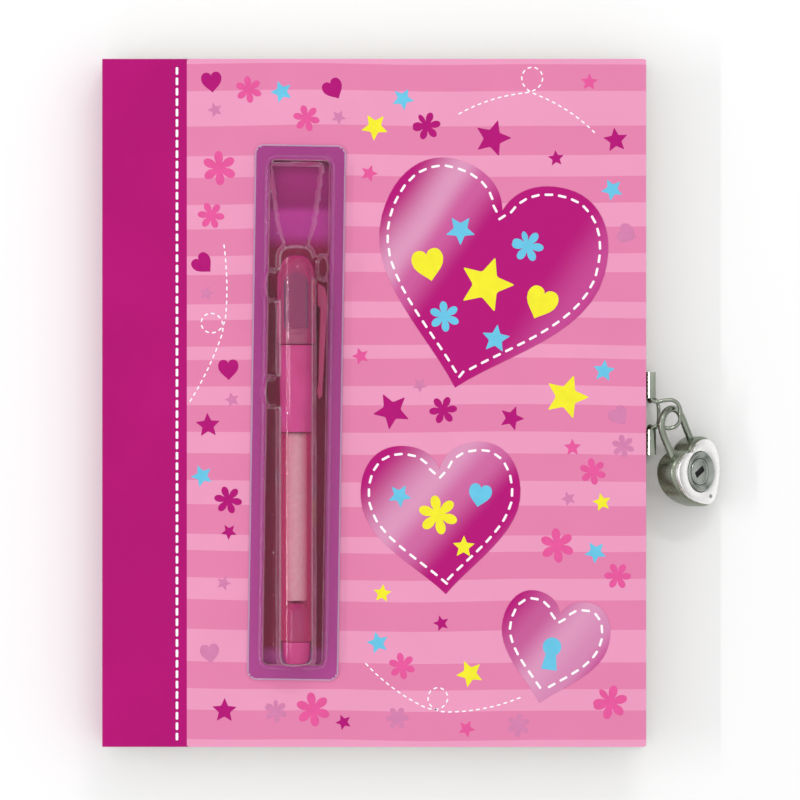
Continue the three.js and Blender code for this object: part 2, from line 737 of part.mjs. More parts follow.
// A hole about the Z axis through the plug's centre
function face(radius, z0, z1, sides = 28) {
  return rod(radius, z0, z1, sides).rotate([90, 0, 0]).translate([0, plugY, 0]);
}
const holeRadius = shackleWire + shackleHoleFit;
const heelHole = rod(holeRadius, lobeTop - heelDepth - 1, lobeTop + 4, 12).translate([-shackleRadius, 0, 0]);
const toeHole = rod(holeRadius, lobeTop - toeDepth - 1, lobeTop + 4, 12).translate([shackleRadius, 0, 0]);
const plugHole = face(plugBodyRadius + plugFitGap, plateFront - plugFace - plugBodyLength - 0.6, plateFront + 1, 20);
piece(padlock, 'lock_case', roundedHeart(heartWidth, heartHeight, caseBack, caseFront, caseEdgeRound)
  .subtract(heelHole)
  .subtract(toeHole)
  .subtract(plugHole), 'steel');
function facePin(y) {
  return rod(facePinRadius, caseFront, plateFront + facePinRise, 12).rotate([90, 0, 0]).translate([0, y, 0]);
}
const notchPinY = heartMiddle + heartHeight * 0.33 - facePinInset;
const tipPinY = heartMiddle - heartHeight / 2 + facePinTipInset;
piece(padlock, 'lock_face_plate', roundedHeart(heartWidth - 1.6, heartHeight - 1.6, caseFront, plateFront, 0.4)
  .add(facePin(tipPinY))
  .add(facePin(notchPinY))
  .subtract(face(collarRadius + plugFitGap, caseFront - 1, plateFront + 1)), 'polished');
piece(padlock, 'keyhole_collar', solidFrom(new THREE.LatheGeometry([
  new THREE.Vector2(plugRadius + plugFitGap, caseFront),
  new THREE.Vector2(collarRadius, caseFront),
  new THREE.Vector2(collarRadius, plateFront + collarRise - 0.3),
  new THREE.Vector2(collarRadius - 0.4, plateFront + collarRise),
  new THREE.Vector2(collarRadius - 0.8, plateFront + collarRise - 0.1),
  new THREE.Vector2(plugRadius + plugFitGap, plateFront - 0.5),
  new THREE.Vector2(plugRadius + plugFitGap, caseFront),
], 32)).rotate([90, 0, 0]).translate([0, plugY, 0]), 'steel');
const keyway = box(
  -keywayWidth / 2,
  keywayWidth / 2,
  plugY - keywayLength / 2,
  plugY + keywayLength / 2,
  plateFront - plugFace - 2.6,
  plateFront + 1,
);
piece(padlock, 'key_plug', face(plugRadius, caseFront, plateFront - 0.3)
  .add(face(plugBodyRadius, plateFront - plugFace - plugBodyLength, caseFront + 0.3, 20))
  .subtract(keyway), 'steel');

export default diary;
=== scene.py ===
# %% [markdown]
# The diary lies on its back on a white table, seen from straight above. The CAD model arrives as a fixed
# frame of named nodes, in metres, with +X to the fore-edge, +Y to the head and +Z up. Each new piece is
# made at its own place in that frame, and all but the spine's paper ride on one of its bodies, so the cover,
# the pen's cap and the padlock still move.

import math

import bmesh
import bpy
from mathutils import Matrix, Vector


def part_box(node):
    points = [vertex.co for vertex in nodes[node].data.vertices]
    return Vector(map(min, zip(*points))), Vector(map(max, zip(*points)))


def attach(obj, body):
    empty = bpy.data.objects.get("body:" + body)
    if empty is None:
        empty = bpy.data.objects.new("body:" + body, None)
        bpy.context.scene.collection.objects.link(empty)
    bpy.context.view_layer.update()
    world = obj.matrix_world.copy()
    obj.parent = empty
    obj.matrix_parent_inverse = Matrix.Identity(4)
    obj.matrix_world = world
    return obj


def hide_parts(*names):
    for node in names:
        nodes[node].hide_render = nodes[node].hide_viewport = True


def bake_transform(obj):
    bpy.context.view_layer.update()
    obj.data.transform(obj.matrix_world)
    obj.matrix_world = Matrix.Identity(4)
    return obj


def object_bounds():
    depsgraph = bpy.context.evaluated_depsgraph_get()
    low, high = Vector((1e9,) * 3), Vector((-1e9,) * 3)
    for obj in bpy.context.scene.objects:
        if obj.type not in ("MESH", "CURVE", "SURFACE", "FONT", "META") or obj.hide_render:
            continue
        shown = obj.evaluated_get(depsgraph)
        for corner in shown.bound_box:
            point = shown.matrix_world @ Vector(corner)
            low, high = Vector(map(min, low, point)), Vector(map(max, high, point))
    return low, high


bpy.ops.wm.read_factory_settings(use_empty=True)
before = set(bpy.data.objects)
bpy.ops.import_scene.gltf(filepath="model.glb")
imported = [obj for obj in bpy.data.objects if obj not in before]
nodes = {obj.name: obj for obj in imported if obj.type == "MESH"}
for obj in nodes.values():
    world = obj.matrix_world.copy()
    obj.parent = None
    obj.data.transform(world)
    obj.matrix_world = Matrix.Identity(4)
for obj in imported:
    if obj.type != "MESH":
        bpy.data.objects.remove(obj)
cad_low, cad_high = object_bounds()
MM = 0.001
print("frame", len(nodes), "nodes", [round(c / MM, 1) for c in cad_high - cad_low], "mm")

# %% [markdown]
# A product photograph of a book is taken with a long lens from far above, which keeps the cover square. The
# camera looks straight down from 1.5 m over the cover, and its lens is chosen so that the picture is 250 mm
# wide where the cover is. The centre of the view lies a little to the right of the cover, because of the
# padlock.

# %% Camera
CAMERA_ABOVE_COVER = 1.5
CLIP_END = 10
VIEW_WIDTH = 0.250
SENSOR_WIDTH = 36.0
VIEW_CENTRE = Vector((0.0081, 0.0009))
cover_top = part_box("front_print_sheet")[1].z


def in_scene(name, data):
    """A new object for the data, at the origin of the scene."""
    made = bpy.data.objects.new(name, data)
    bpy.context.scene.collection.objects.link(made)
    return made


camera_data = bpy.data.cameras.new("camera_above")
camera_data.sensor_width = SENSOR_WIDTH
camera_data.lens = SENSOR_WIDTH * CAMERA_ABOVE_COVER / VIEW_WIDTH
camera_data.clip_end = CLIP_END
camera = in_scene("camera_above", camera_data)
camera.location = (*VIEW_CENTRE, cover_top + CAMERA_ABOVE_COVER)
bpy.context.scene.camera = camera
print("camera lens", round(camera_data.lens), "mm")

# %% [markdown]
# Printed colours are known as 0 to 255 values, as a designer gives them. Blender's shaders want linear
# light, so one helper turns the one into the other. A material could be wired up line by line, but nearly
# all of them here use the same few nodes, so a small class gives each kind of node a short call.

# %% Node graph
MIX_FACTOR, MIX_FIRST, MIX_SECOND, MIX_RESULT = 0, 6, 7, 2


def colour(red, green, blue):
    """A printed colour of 0 to 255 as linear light with full opacity."""
    shares = [value / 255 for value in (red, green, blue)]
    return (*(s / 12.92 if s <= 0.04045 else ((s + 0.055) / 1.055) ** 2.4 for s in shares), 1.0)


def grey(value):
    return (value, value, value, 1.0)


def scaled(tone, factor):
    return (*(c * factor for c in tone[:3]), 1.0)


class NodeGraph:
    """The nodes of a material or of the world, with one kind of texture coordinates."""

    def __init__(self, owner, coordinates):
        owner.use_nodes = True
        self.nodes = owner.node_tree.nodes
        self.links = owner.node_tree.links
        self.place = self.node("ShaderNodeTexCoord", {}).outputs[coordinates]

    def node(self, kind, inputs, **settings):
        made = self.nodes.new(kind)
        for key, value in settings.items():
            setattr(made, key, value)
        self.feed(made, inputs)
        return made

    def feed(self, made, inputs):
        """Gives each input, known by its name or number, a value or another node's output."""
        for key, value in inputs.items():
            if isinstance(value, bpy.types.NodeSocket):
                self.links.new(value, made.inputs[key])
            else:
                made.inputs[key].default_value = value

    def mapped(self, **transform):
        return self.node("ShaderNodeMapping", {"Vector": self.place, **transform}).outputs["Vector"]

    def axis(self, name, vector=None):
        return self.node("ShaderNodeSeparateXYZ", {"Vector": vector or self.place}).outputs[name]

    def noise(self, scale, detail=3.0, vector=None):
        inputs = {"Scale": scale, "Detail": detail, "Vector": vector or self.place}
        return self.node("ShaderNodeTexNoise", inputs).outputs["Fac"]

    def math(self, operation, first, second):
        return self.node("ShaderNodeMath", {0: first, 1: second}, operation=operation).outputs["Value"]

    def share(self, value, low, high):
        """The value as 0 at the low end and 1 at the high end."""
        return self.math("DIVIDE", self.math("SUBTRACT", value, low), high - low)

    def range_of(self, factor, low, high):
        inputs = {"Value": factor, "To Min": low, "To Max": high}
        return self.node("ShaderNodeMapRange", inputs).outputs["Result"]

    def ramp(self, factor, stops, interpolation="LINEAR"):
        """Tones laid along a factor, from (position, tone) stops."""
        made = self.node("ShaderNodeValToRGB", {"Fac": factor})
        made.color_ramp.interpolation = interpolation
        elements = made.color_ramp.elements
        while len(elements) < len(stops):
            elements.new(1.0)
        for element, (position, tone) in zip(elements, stops):
            element.position = position
            element.color = tone
        return made.outputs["Color"]

    def two_tone(self, scale, detail, dark, light, low_stop=0.3):
        """Two tones in a soft random mottle."""
        return self.ramp(self.noise(scale, detail), [(low_stop, dark), (1 - low_stop, light)])

    def multiplied(self, first, second):
        """Two colours multiplied. A mix node has sockets for every kind of data, so these have numbers."""
        inputs = {MIX_FACTOR: 1.0, MIX_FIRST: first, MIX_SECOND: second}
        made = self.node("ShaderNodeMix", inputs, data_type="RGBA", blend_type="MULTIPLY")
        return made.outputs[MIX_RESULT]

    def bump(self, height, strength, distance):
        inputs = {"Height": height, "Strength": strength, "Distance": distance}
        return self.node("ShaderNodeBump", inputs).outputs["Normal"]


print("a printed grey of 128 is", round(colour(128, 128, 128)[0], 3), "in linear light")

# %% [markdown]
# Every real surface is a little uneven: in its tone, in its gloss and in its relief. One class starts each
# finish from the same shader and gives these three a call each. It works on the piece's own Object
# coordinates, which lie still when the piece moves, so that no pattern swims over the cover as it opens.

# %% Finish
FINE_RELIEF = 0.05 * MM
COARSE_RELIEF = 0.1 * MM


class Finish(NodeGraph):
    """A material round the Principled shader."""

    def __init__(self, name, base, roughness, metallic=0.0, specular=0.5):
        self.material = bpy.data.materials.new(name)
        super().__init__(self.material, "Object")
        self.shader = self.nodes["Principled BSDF"]
        self.shade(Base_Color=base, Roughness=roughness, Metallic=metallic, Specular_IOR_Level=specular)

    def shade(self, **inputs):
        """Sets the shader's inputs, with an underscore for each space in a name."""
        self.feed(self.shader, {key.replace("_", " "): value for key, value in inputs.items()})

    def uneven_gloss(self, scale, low, high, detail=3.0):
        self.shade(Roughness=self.range_of(self.noise(scale, detail), low, high))

    def relief(self, scale, detail, strength, distance=FINE_RELIEF):
        self.shade(Normal=self.bump(self.noise(scale, detail), strength, distance))

    def surface(self, tones, gloss=(), relief=()):
        """Takes the values for a mottle of two tones and for the two above, and returns the material."""
        self.shade(Base_Color=self.two_tone(*tones))
        if gloss:
            self.uneven_gloss(*gloss)
        if relief:
            self.relief(*relief)
        return self.material


print("relief of", FINE_RELIEF / MM, "or", COARSE_RELIEF / MM, "mm")

# %% [markdown]
# The cover paper is printed with uneven pink stripes under a gloss film. The pattern needs no picture: the
# height on the cover goes into a colour ramp with hard steps, and a slow noise in that height makes the
# bands waver.

# %% Printed stripes
COVER_HEIGHT = cad_high.y - cad_low.y
COVER_REACH = (-COVER_HEIGHT / 2, COVER_HEIGHT / 2)
STRIPE_DEPTH = 8.8 * MM
STRIPE_TOPS_MM = (105.6, 85.8, 70.3, 54.4, 39.6, 26.0, 13.0, -1.0, -16.2, -32.4, -46.2, -61.8, -81.0, -96.4)
STRIPE_WAVER = 5 * MM
WAVER_SCALE = 9
PRINT_GLOSS = 0.12
PAPER_GRAIN = 2600
LIGHT_STRIPE = colour(233, 153, 189)
DARK_STRIPE = colour(224, 128, 171)


def printed_paper():
    finish = Finish("printed_cover_paper", LIGHT_STRIPE, 0.42, specular=PRINT_GLOSS)
    slow = finish.noise(WAVER_SCALE, 1.0, finish.mapped(Scale=(1, 0.7, 0.2)))
    shift = finish.math("MULTIPLY", finish.math("SUBTRACT", slow, 0.5), STRIPE_WAVER)
    height = finish.share(finish.math("ADD", finish.axis("Y"), shift), *COVER_REACH)
    stops = [(0.0, LIGHT_STRIPE)]
    for top in reversed(STRIPE_TOPS_MM):
        low = (top * MM - STRIPE_DEPTH + COVER_HEIGHT / 2) / COVER_HEIGHT
        stops += [(low, DARK_STRIPE), (low + STRIPE_DEPTH / COVER_HEIGHT, LIGHT_STRIPE)]
    rubbed = finish.range_of(finish.noise(60, 5.0), 0.96, 1.04)
    finish.shade(Base_Color=finish.multiplied(finish.ramp(height, stops, "CONSTANT"), rubbed))
    finish.uneven_gloss(25, 0.36, 0.5)
    finish.relief(PAPER_GRAIN, 2.0, 0.06)
    return finish.material


PRINTED_PAPER = printed_paper()
print("stripes", len(STRIPE_TOPS_MM))

# %% [markdown]
# The spine is wrapped in plain magenta paper with the same film. Board is grey and fibrous, endpapers are
# soft pink, and the page block shows its leaves as hundreds of fine lines. A wave texture that runs up the
# block draws them, with noise to make them as irregular as cut paper.

# %% Paper, board and cloth
FIBRE_GRAIN = 900
ENDPAPER_GRAIN = 1500
LEAF_LINES = 1400
CLOTH_THREADS = 500


def fibrous(name, dark, light, roughness, grain=FIBRE_GRAIN):
    finish = Finish(name, light, roughness, specular=0.2)
    return finish.surface((grain, 6.0, dark, light, 0.35), relief=(grain * 2, 3.0, 0.15, COARSE_RELIEF))


def page_edges():
    finish = Finish("page_edges", colour(246, 241, 230), 0.85)
    flattened = finish.mapped(Scale=(0.05, 0.05, 1))
    inputs = {"Scale": LEAF_LINES, "Distortion": 1.2, "Detail": 2.0, "Vector": flattened}
    bands = {"wave_type": "BANDS", "bands_direction": "Z", "wave_profile": "SAW"}
    leaves = finish.node("ShaderNodeTexWave", inputs, **bands).outputs["Fac"]
    finish.shade(
        Base_Color=finish.ramp(leaves, [(0.0, colour(216, 207, 190)), (0.25, colour(247, 243, 233))]),
        Normal=finish.bump(leaves, 0.4, COARSE_RELIEF),
    )
    return finish.material


def mull_cloth():
    finish = Finish("lining_cloth", colour(226, 220, 205), 0.95)
    weave = finish.node("ShaderNodeTexBrick", {
        "Scale": CLOTH_THREADS, "Color1": colour(228, 222, 208), "Color2": colour(220, 213, 198),
        "Mortar": colour(190, 180, 160), "Vector": finish.place,
    }, offset=0.0, squash=1.0)
    finish.shade(
        Base_Color=weave.outputs["Color"], Normal=finish.bump(weave.outputs["Fac"], 0.5, COARSE_RELIEF),
    )
    return finish.material


MAGENTA_PAPER = Finish("magenta_wrap_paper", colour(176, 8, 113), 0.45, specular=PRINT_GLOSS).surface(
    (40, 4.0, colour(172, 6, 110), colour(180, 9, 116)), (30, 0.38, 0.52), (PAPER_GRAIN, 2.0, 0.08),
)
GREY_BOARD = fibrous("grey_board", colour(140, 128, 114), colour(170, 160, 146), 0.92)
PINK_ENDPAPER = fibrous("pink_endpaper", colour(238, 172, 200), colour(244, 184, 209), 0.8, ENDPAPER_GRAIN)
PAGE_PAPER = page_edges()
LEAF_PAPER = fibrous("leaf_paper", colour(243, 237, 224), colour(249, 245, 236), 0.85, ENDPAPER_GRAIN)
LINING_CLOTH = mull_cloth()
print("papers, board and cloth ready, page edges with", LEAF_LINES, "lines")

# %% [markdown]
# The hearts are hot-stamped foil, which reads as metal because broad diagonal bands run from deep magenta
# to silvery pink. Real mirroring would depend on the lamps, so the bands are painted reflections: a ramp
# across each heart, and one function takes the heart's size, the bands' angle and their places.

# %% Foil
FOIL_DEEP = colour(181, 16, 119)
FOIL_PAINTED_HIGHLIGHT = colour(219, 150, 188)
FOIL_PAINTED_SHEEN = colour(196, 72, 146)
FOIL_SPAN = 90 * MM


def foil(size, degrees, bands):
    """Foil with painted reflection bands of the given tones at places from -0.5 to 0.5 of the span across
    them.
    """
    finish = Finish("foil_" + size, FOIL_DEEP, 0.3, 0.25, 0.15)
    low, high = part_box("foil_heart_" + size)
    middle = (low + high) / 2
    centred = finish.mapped(Location=(-middle.x, -middle.y, 0))
    turned_by = {"Vector": centred, "Angle": math.radians(degrees)}
    across = finish.node("ShaderNodeVectorRotate", turned_by, rotation_type="Z_AXIS").outputs["Vector"]
    waver = finish.math("MULTIPLY", finish.noise(30, 1.0), 0.05)
    share = finish.math("DIVIDE", finish.axis("X", across), FOIL_SPAN)
    along = finish.math("ADD", finish.math("ADD", share, waver), 0.5)
    # The pale and rose stops of this ramp are painted highlights and painted sheen, not the foil's own
    # colour.
    finish.shade(Base_Color=finish.ramp(along, [(0.5 + place, tone) for place, tone in bands], "EASE"))
    finish.uneven_gloss(200, 0.22, 0.34)
    finish.relief(1200, 2.0, 0.05)
    return finish.material


FOILS = {
    "large": foil("large", 35, (
        (-0.42, FOIL_DEEP), (-0.27, FOIL_PAINTED_HIGHLIGHT), (-0.19, colour(203, 92, 156)), (-0.08, FOIL_DEEP),
        (0.16, FOIL_DEEP), (0.32, FOIL_PAINTED_SHEEN), (0.42, FOIL_DEEP),
    )),
    "medium": foil("medium", 42, (
        (-0.27, FOIL_DEEP), (-0.07, FOIL_PAINTED_HIGHLIGHT), (0.02, colour(206, 104, 162)), (0.14, FOIL_DEEP),
        (0.2, FOIL_DEEP), (0.28, FOIL_PAINTED_SHEEN),
    )),
    "small": foil("small", 40, (
        (-0.2, FOIL_DEEP), (-0.08, colour(198, 92, 152)), (0.03, FOIL_PAINTED_HIGHLIGHT), (0.12, colour(212, 134, 178)),
        (0.2, FOIL_PAINTED_SHEEN),
    )),
}
print("foils", len(FOILS))

# %% [markdown]
# The pen and the blister are plastics of three kinds: an opaque moulded pink, a tinted clear pink and the
# clear sheet of the blister. Clear plastic this thin hardly bends light, so most of what passes goes
# straight through a transparent shader, and a glossy one is mixed in where Fresnel says that the surface
# mirrors.

# %% Plastics
SHEET_RIPPLE = 0.3 * MM
PLASTIC_INDEX = 1.45


def clear_sheet(name, tint, mirror_gain, roughness):
    """Thin clear plastic: a straight view through, with a mirror layer that grows towards its edges."""
    finish = Finish(name, tint, roughness)
    ripple = finish.bump(finish.noise(60, 2.0), 0.12, SHEET_RIPPLE)
    see_through = finish.node("ShaderNodeBsdfTransparent", {"Color": tint})
    gloss = {"Color": grey(1.0), "Roughness": roughness, "Normal": ripple}
    mirror = finish.node("ShaderNodeBsdfGlossy", gloss)
    fresnel = finish.node("ShaderNodeFresnel", {"IOR": PLASTIC_INDEX, "Normal": ripple})
    share = finish.math("MULTIPLY", fresnel.outputs["Fac"], mirror_gain)
    layers = {0: share, 1: see_through.outputs["BSDF"], 2: mirror.outputs["BSDF"]}
    mixed = finish.node("ShaderNodeMixShader", layers)
    finish.feed(finish.nodes["Material Output"], {"Surface": mixed.outputs["Shader"]})
    finish.nodes.remove(finish.shader)
    return finish.material


def moulded(name, dark, light, roughness, scattering=0.0):
    finish = Finish(name, light, roughness)
    finish.shade(Coat_Weight=0.4, Subsurface_Weight=scattering, Subsurface_Scale=2 * MM)
    return finish.surface((70, 2.0, dark, light), (300, roughness, roughness + 0.1), (1800, 2.0, 0.04))


def tinted_clear(name, tint, alpha, edge_alpha, roughness):
    """Tinted plastic with some body: more of its colour shows where a wall is seen edge on."""
    finish = Finish(name, tint, roughness)
    facing = finish.node("ShaderNodeLayerWeight", {"Blend": 0.65}).outputs["Facing"]
    finish.shade(Coat_Weight=0.6, Alpha=finish.range_of(facing, alpha, edge_alpha))
    return finish.surface((90, 2.0, tint, scaled(tint, 1.08)), (300, roughness, roughness + 0.06))


BLISTER_SHEET = clear_sheet("blister_sheet", colour(253, 249, 252), 0.36, 0.07)
# A pale band round the flange's rim: a painted glint of the sheet's cut edge.
EDGE_PAINTED_GLINT = tinted_clear("blister_edge_painted_glint", colour(214, 184, 214), 0.4, 0.55, 0.15)
PEN_PINK = moulded("pen_pink", colour(198, 38, 124), colour(214, 56, 144), 0.2, 0.2)
PEN_CLIP_RED = moulded("pen_clip_red", colour(160, 14, 84), colour(176, 24, 98), 0.2, 0.2)
PEN_CLEAR = tinted_clear("pen_clear", colour(212, 36, 112), 0.04, 1.0, 0.08)
HEAD_CLEAR = tinted_clear("head_clear", colour(202, 52, 122), 0.34, 0.85, 0.08)
WINDOW_SMOKE = tinted_clear("window_smoke", colour(108, 48, 96), 0.72, 0.9, 0.12)
INK_FIBRE = fibrous("ink_fibre", colour(252, 206, 212), colour(255, 222, 226), 0.8, 700)
LAMP_VIOLET = moulded("lamp_violet", colour(110, 60, 150), colour(130, 84, 170), 0.15)
print("plastics ready, the sheet with an index of", PLASTIC_INDEX)

# %% [markdown]
# Behind the clear sheet is a violet card. It is a little paler at the foot, as printed gradients often are.
# The well under the pen is lined with the same card, with painted shade and painted light: darker and redder
# where the pen would shade it and colour its light, so its ramp follows the pen: the end plug, the long clear
# barrel and the cap.

# %% Violet card
WELL_FROM = -84 * MM
WELL_TO = 78 * MM
PLUG_SHADE = colour(176, 60, 142)
BARREL_PAINTED_SHADE = colour(142, 4, 66)


def violet_card():
    finish = Finish("violet_card", colour(172, 62, 142), 0.4, specular=0.15)
    height = finish.share(finish.axis("Y"), *COVER_REACH)
    finish.shade(Base_Color=finish.ramp(height, [(0.1, colour(188, 74, 158)), (0.9, colour(176, 62, 146))]))
    finish.uneven_gloss(50, 0.35, 0.5)
    return finish.material


def well_card():
    finish = Finish("well_card", colour(120, 36, 72), 0.5, specular=0.15)
    # This ramp is painted shade and painted light: dark maroon along the pen, violet at the plug end and just
    # past the pen's head, darker again towards the far end of the hopper.
    painted_shade_ramp = finish.ramp(finish.share(finish.axis("Y"), WELL_FROM, WELL_TO), [
        (0.0, PLUG_SHADE), (0.035, PLUG_SHADE), (0.05, BARREL_PAINTED_SHADE), (0.815, BARREL_PAINTED_SHADE),
        (0.845, colour(182, 54, 146)), (0.885, colour(186, 56, 150)), (0.9, colour(146, 22, 104)),
        (0.955, colour(156, 32, 114)), (0.995, colour(112, 8, 66)),
    ])
    cloudy = finish.two_tone(35, 2.0, colour(236, 232, 234), colour(255, 255, 255))
    finish.shade(Base_Color=finish.multiplied(painted_shade_ramp, cloudy))
    return finish.material


VIOLET_CARD = violet_card()
WELL_CARD_PAINTED_SHADE = well_card()
print("cards ready, the well from", WELL_FROM / MM, "to", WELL_TO / MM, "mm")

# %% [markdown]
# The padlock and its hasps are nickel-plated steel. Plating is a smooth metal whose colour is slightly
# green-grey, with fine scratches, and the face plate is polished much brighter than the tumbled case.

# %% Metals
def nickel(name, dark, light, roughness, scratch=0.12):
    gloss = (500, roughness, roughness + scratch, 4.0)
    return Finish(name, light, roughness, 1.0).surface((120, 3.0, dark, light), gloss, (1500, 3.0, 0.05))


TUMBLED_NICKEL = nickel("tumbled_nickel", colour(132, 139, 124), colour(156, 162, 147), 0.22)
WIRE_NICKEL = nickel("wire_nickel", colour(134, 141, 128), colour(164, 170, 157), 0.1)
POLISHED_NICKEL = nickel("polished_nickel", colour(250, 248, 247), colour(254, 253, 252), 0.25, 0.05)
DISHED_NICKEL = nickel("dished_nickel", colour(140, 145, 140), colour(172, 176, 170), 0.2)
# Near-black painted shade for the keyway's slot.
KEYWAY_PAINTED_SHADE = fibrous("keyway_painted_shade", colour(14, 15, 14), colour(26, 27, 25), 0.6, 800)
CELL_STEEL = nickel("cell_steel", colour(150, 150, 150), colour(180, 180, 180), 0.25)
print("materials", len(bpy.data.materials))

# %% [markdown]
# Nodes whose shape is right keep their CAD mesh and only change their finish. The rest are replaced below
# by pieces with rounder forms. One helper turns a bmesh into a piece: it merges doubles, turns the faces
# outwards, shades it smooth up to sharp edges, lets it ride on its body and says which nodes it stands for.

# %% Finishes of the CAD nodes
NODE_FINISHES = (
    (PRINTED_PAPER, "back_print_sheet", "front_print_sheet"),
    (GREY_BOARD, "back_board", "spine_board", "front_board"),
    (PINK_ENDPAPER, "back_endpaper", "front_endpaper", "flyleaf"),
    (PAGE_PAPER, "page_block"),
    (LEAF_PAPER, "title_leaf"),
    (LINING_CLOTH, "spine_lining"),
    (WELL_CARD_PAINTED_SHADE, "well_liner"),
    (VIOLET_CARD, "backing_card"),
    (INK_FIBRE, "pen_nib", "ink_reservoir"),
    (CELL_STEEL, "button_cell_1", "button_cell_2", "button_cell_3"),
    (LAMP_VIOLET, "uv_lamp"),
    (WIRE_NICKEL, "front_hasp", "back_hasp"),
    *((material, "foil_heart_" + size) for size, material in FOILS.items()),
)


def dress(name, material):
    slots = nodes[name].material_slots
    if not slots:
        nodes[name].data.materials.append(material)
    for slot in slots:
        slot.material = material


for node_material, *node_names in NODE_FINISHES:
    for node_name in node_names:
        dress(node_name, node_material)
print("dressed", sum(len(row) - 1 for row in NODE_FINISHES), "nodes")

# %% Piece helper
SHARP_ANGLE = math.radians(35)
MERGE_DISTANCE = 1e-6


def piece(name, shape, material, body, slot, *stands_for):
    """Makes the bmesh an object that rides on a body and stands for CAD nodes."""
    bmesh.ops.remove_doubles(shape, verts=shape.verts, dist=MERGE_DISTANCE)
    bmesh.ops.recalc_face_normals(shape, faces=shape.faces)
    mesh = bpy.data.meshes.new(name)
    shape.to_mesh(mesh)
    shape.free()
    mesh.shade_smooth()
    mesh.set_sharp_from_angle(angle=SHARP_ANGLE)
    mesh.materials.append(material)
    made = in_scene(name, mesh)
    if body:
        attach(made, body)
    if stands_for:
        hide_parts(*stands_for)
    print(name, len(mesh.polygons), "faces")
    return made


def rounded(shape, geom, offset, segments, affect="EDGES"):
    bmesh.ops.bevel(
        shape, geom=list(geom), offset=offset, segments=segments, profile=0.5, affect=affect, material=-1,
    )


def shifted(shape, grown, vec):
    """Moves the points that an extrusion has just made, and returns them."""
    raised = [v for v in grown["geom"] if isinstance(v, bmesh.types.BMVert)]
    bmesh.ops.translate(shape, verts=raised, vec=vec)
    return raised


print("piece helpers ready")

# %% [markdown]
# The magenta paper is one sheet round the spine and on to the front cover, with a row of points across the
# joint. Its section is a chain of points, extruded along the spine and given the paper's thickness. The
# strip on the back cover lies still, so it is a plain sheet.

# %% Spine wrap
def arc(middle, radius, start, end, steps):
    """Points of an arc round a middle, from one angle to another in degrees."""
    angles = [math.radians(start + (end - start) * i / steps) for i in range(steps + 1)]
    return [Vector(middle) + Vector((math.cos(a), math.sin(a))) * radius for a in angles]


PAPER = 0.4 * MM
SPINE_CORNER = 0.6 * MM
CORNER_STEPS = 6
JOINT_LAP = 0.1 * MM
JOINT_STEPS = 8
joint_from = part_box("spine_board")[1].x - JOINT_LAP
joint_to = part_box("front_board")[0].x + JOINT_LAP
spine_low, spine_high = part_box("spine_wrap")
strip_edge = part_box("front_spine_strip")[1].x


def sheet_round_spine(section):
    """Paper whose outer side is a chain of (x, z) points, from foot to head and thickened inwards."""
    shape = bmesh.new()
    chain = [shape.verts.new((x, spine_low.y, z)) for x, z in section]
    edges = [shape.edges.new(pair) for pair in zip(chain, chain[1:])]
    grown = bmesh.ops.extrude_edge_only(shape, edges=edges)
    shifted(shape, grown, (0, spine_high.y - spine_low.y, 0))
    bmesh.ops.recalc_face_normals(shape, faces=shape.faces)
    faces = list(shape.faces)
    inwards = (spine_low + spine_high) / 2 - faces[0].calc_center_median()
    sign = 1 if faces[0].normal.dot(inwards) < 0 else -1
    bmesh.ops.solidify(shape, geom=faces, thickness=sign * PAPER)
    return shape


corner_x = spine_low.x + SPINE_CORNER
wrap_section = [(joint_from, spine_low.z)]
wrap_section += arc((corner_x, spine_low.z + SPINE_CORNER), SPINE_CORNER, 270, 180, CORNER_STEPS)
wrap_section += arc((corner_x, spine_high.z - SPINE_CORNER), SPINE_CORNER, 180, 90, CORNER_STEPS)
for i in range(JOINT_STEPS + 1):
    wrap_section.append((joint_from + (joint_to - joint_from) * i / JOINT_STEPS, spine_high.z))
wrap_section.append((strip_edge, spine_high.z))
wrap_shape = sheet_round_spine(wrap_section)
spine_paper = piece(
    "spine_paper", wrap_shape, MAGENTA_PAPER, None, "magenta_wrap", "spine_wrap", "front_spine_strip",
)
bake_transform(spine_paper)

back_shape = sheet_round_spine([(x, spine_low.z) for x in (joint_from, joint_to, strip_edge)])
piece("back_joint_paper", back_shape, MAGENTA_PAPER, "book", "magenta_wrap", "back_spine_strip")

# %% [markdown]
# Everything printed on the cover is a film of ink. It could be painted in a shader, but flat shapes a few
# hundredths of a millimetre over the paper give crisp edges and can be moved one by one. All the dashes of
# one line are one piece: small grids set along the line, with their corners beveled round.

# %% Printed dashes
INK_LIFT = 0.03 * MM
DASH_ROUNDING = 0.42
INK_WHITE = fibrous("ink_white", colour(248, 240, 246), colour(254, 250, 253), 0.45, 1200)
ink_top = cover_top + INK_LIFT


def dashes_along(points, dash, period, width, height=ink_top):
    """A dashed line along a chain of points: one dash of the given length for each period."""
    shape = bmesh.new()
    size = Matrix.Diagonal((dash, width, 1, 1))
    travelled = 0.0
    due = period / 2
    for start, end in zip(points, points[1:]):
        step = (end - start).length
        while step > 0 and due <= travelled + step:
            middle = start.lerp(end, (due - travelled) / step)
            turn = Matrix.Rotation(math.atan2(end.y - start.y, end.x - start.x), 4, "Z")
            place = Matrix.Translation((*middle, height)) @ turn @ size
            bmesh.ops.create_grid(shape, x_segments=1, y_segments=1, size=0.5, matrix=place)
            due += period
        travelled += step
    rounded(shape, shape.verts, width * DASH_ROUNDING, 3, "VERTICES")
    return shape


STITCH_X = -61.6 * MM
STITCH_END = 1.6 * MM
STITCH = {"dash": 2.4 * MM, "period": 3.25 * MM, "width": 0.8 * MM}
stitch_line = [Vector((STITCH_X, y)) for y in (spine_low.y + STITCH_END, spine_high.y - STITCH_END)]
piece("printed_spine_stitches", dashes_along(stitch_line, **STITCH), INK_WHITE, "front_cover", "cover_print")

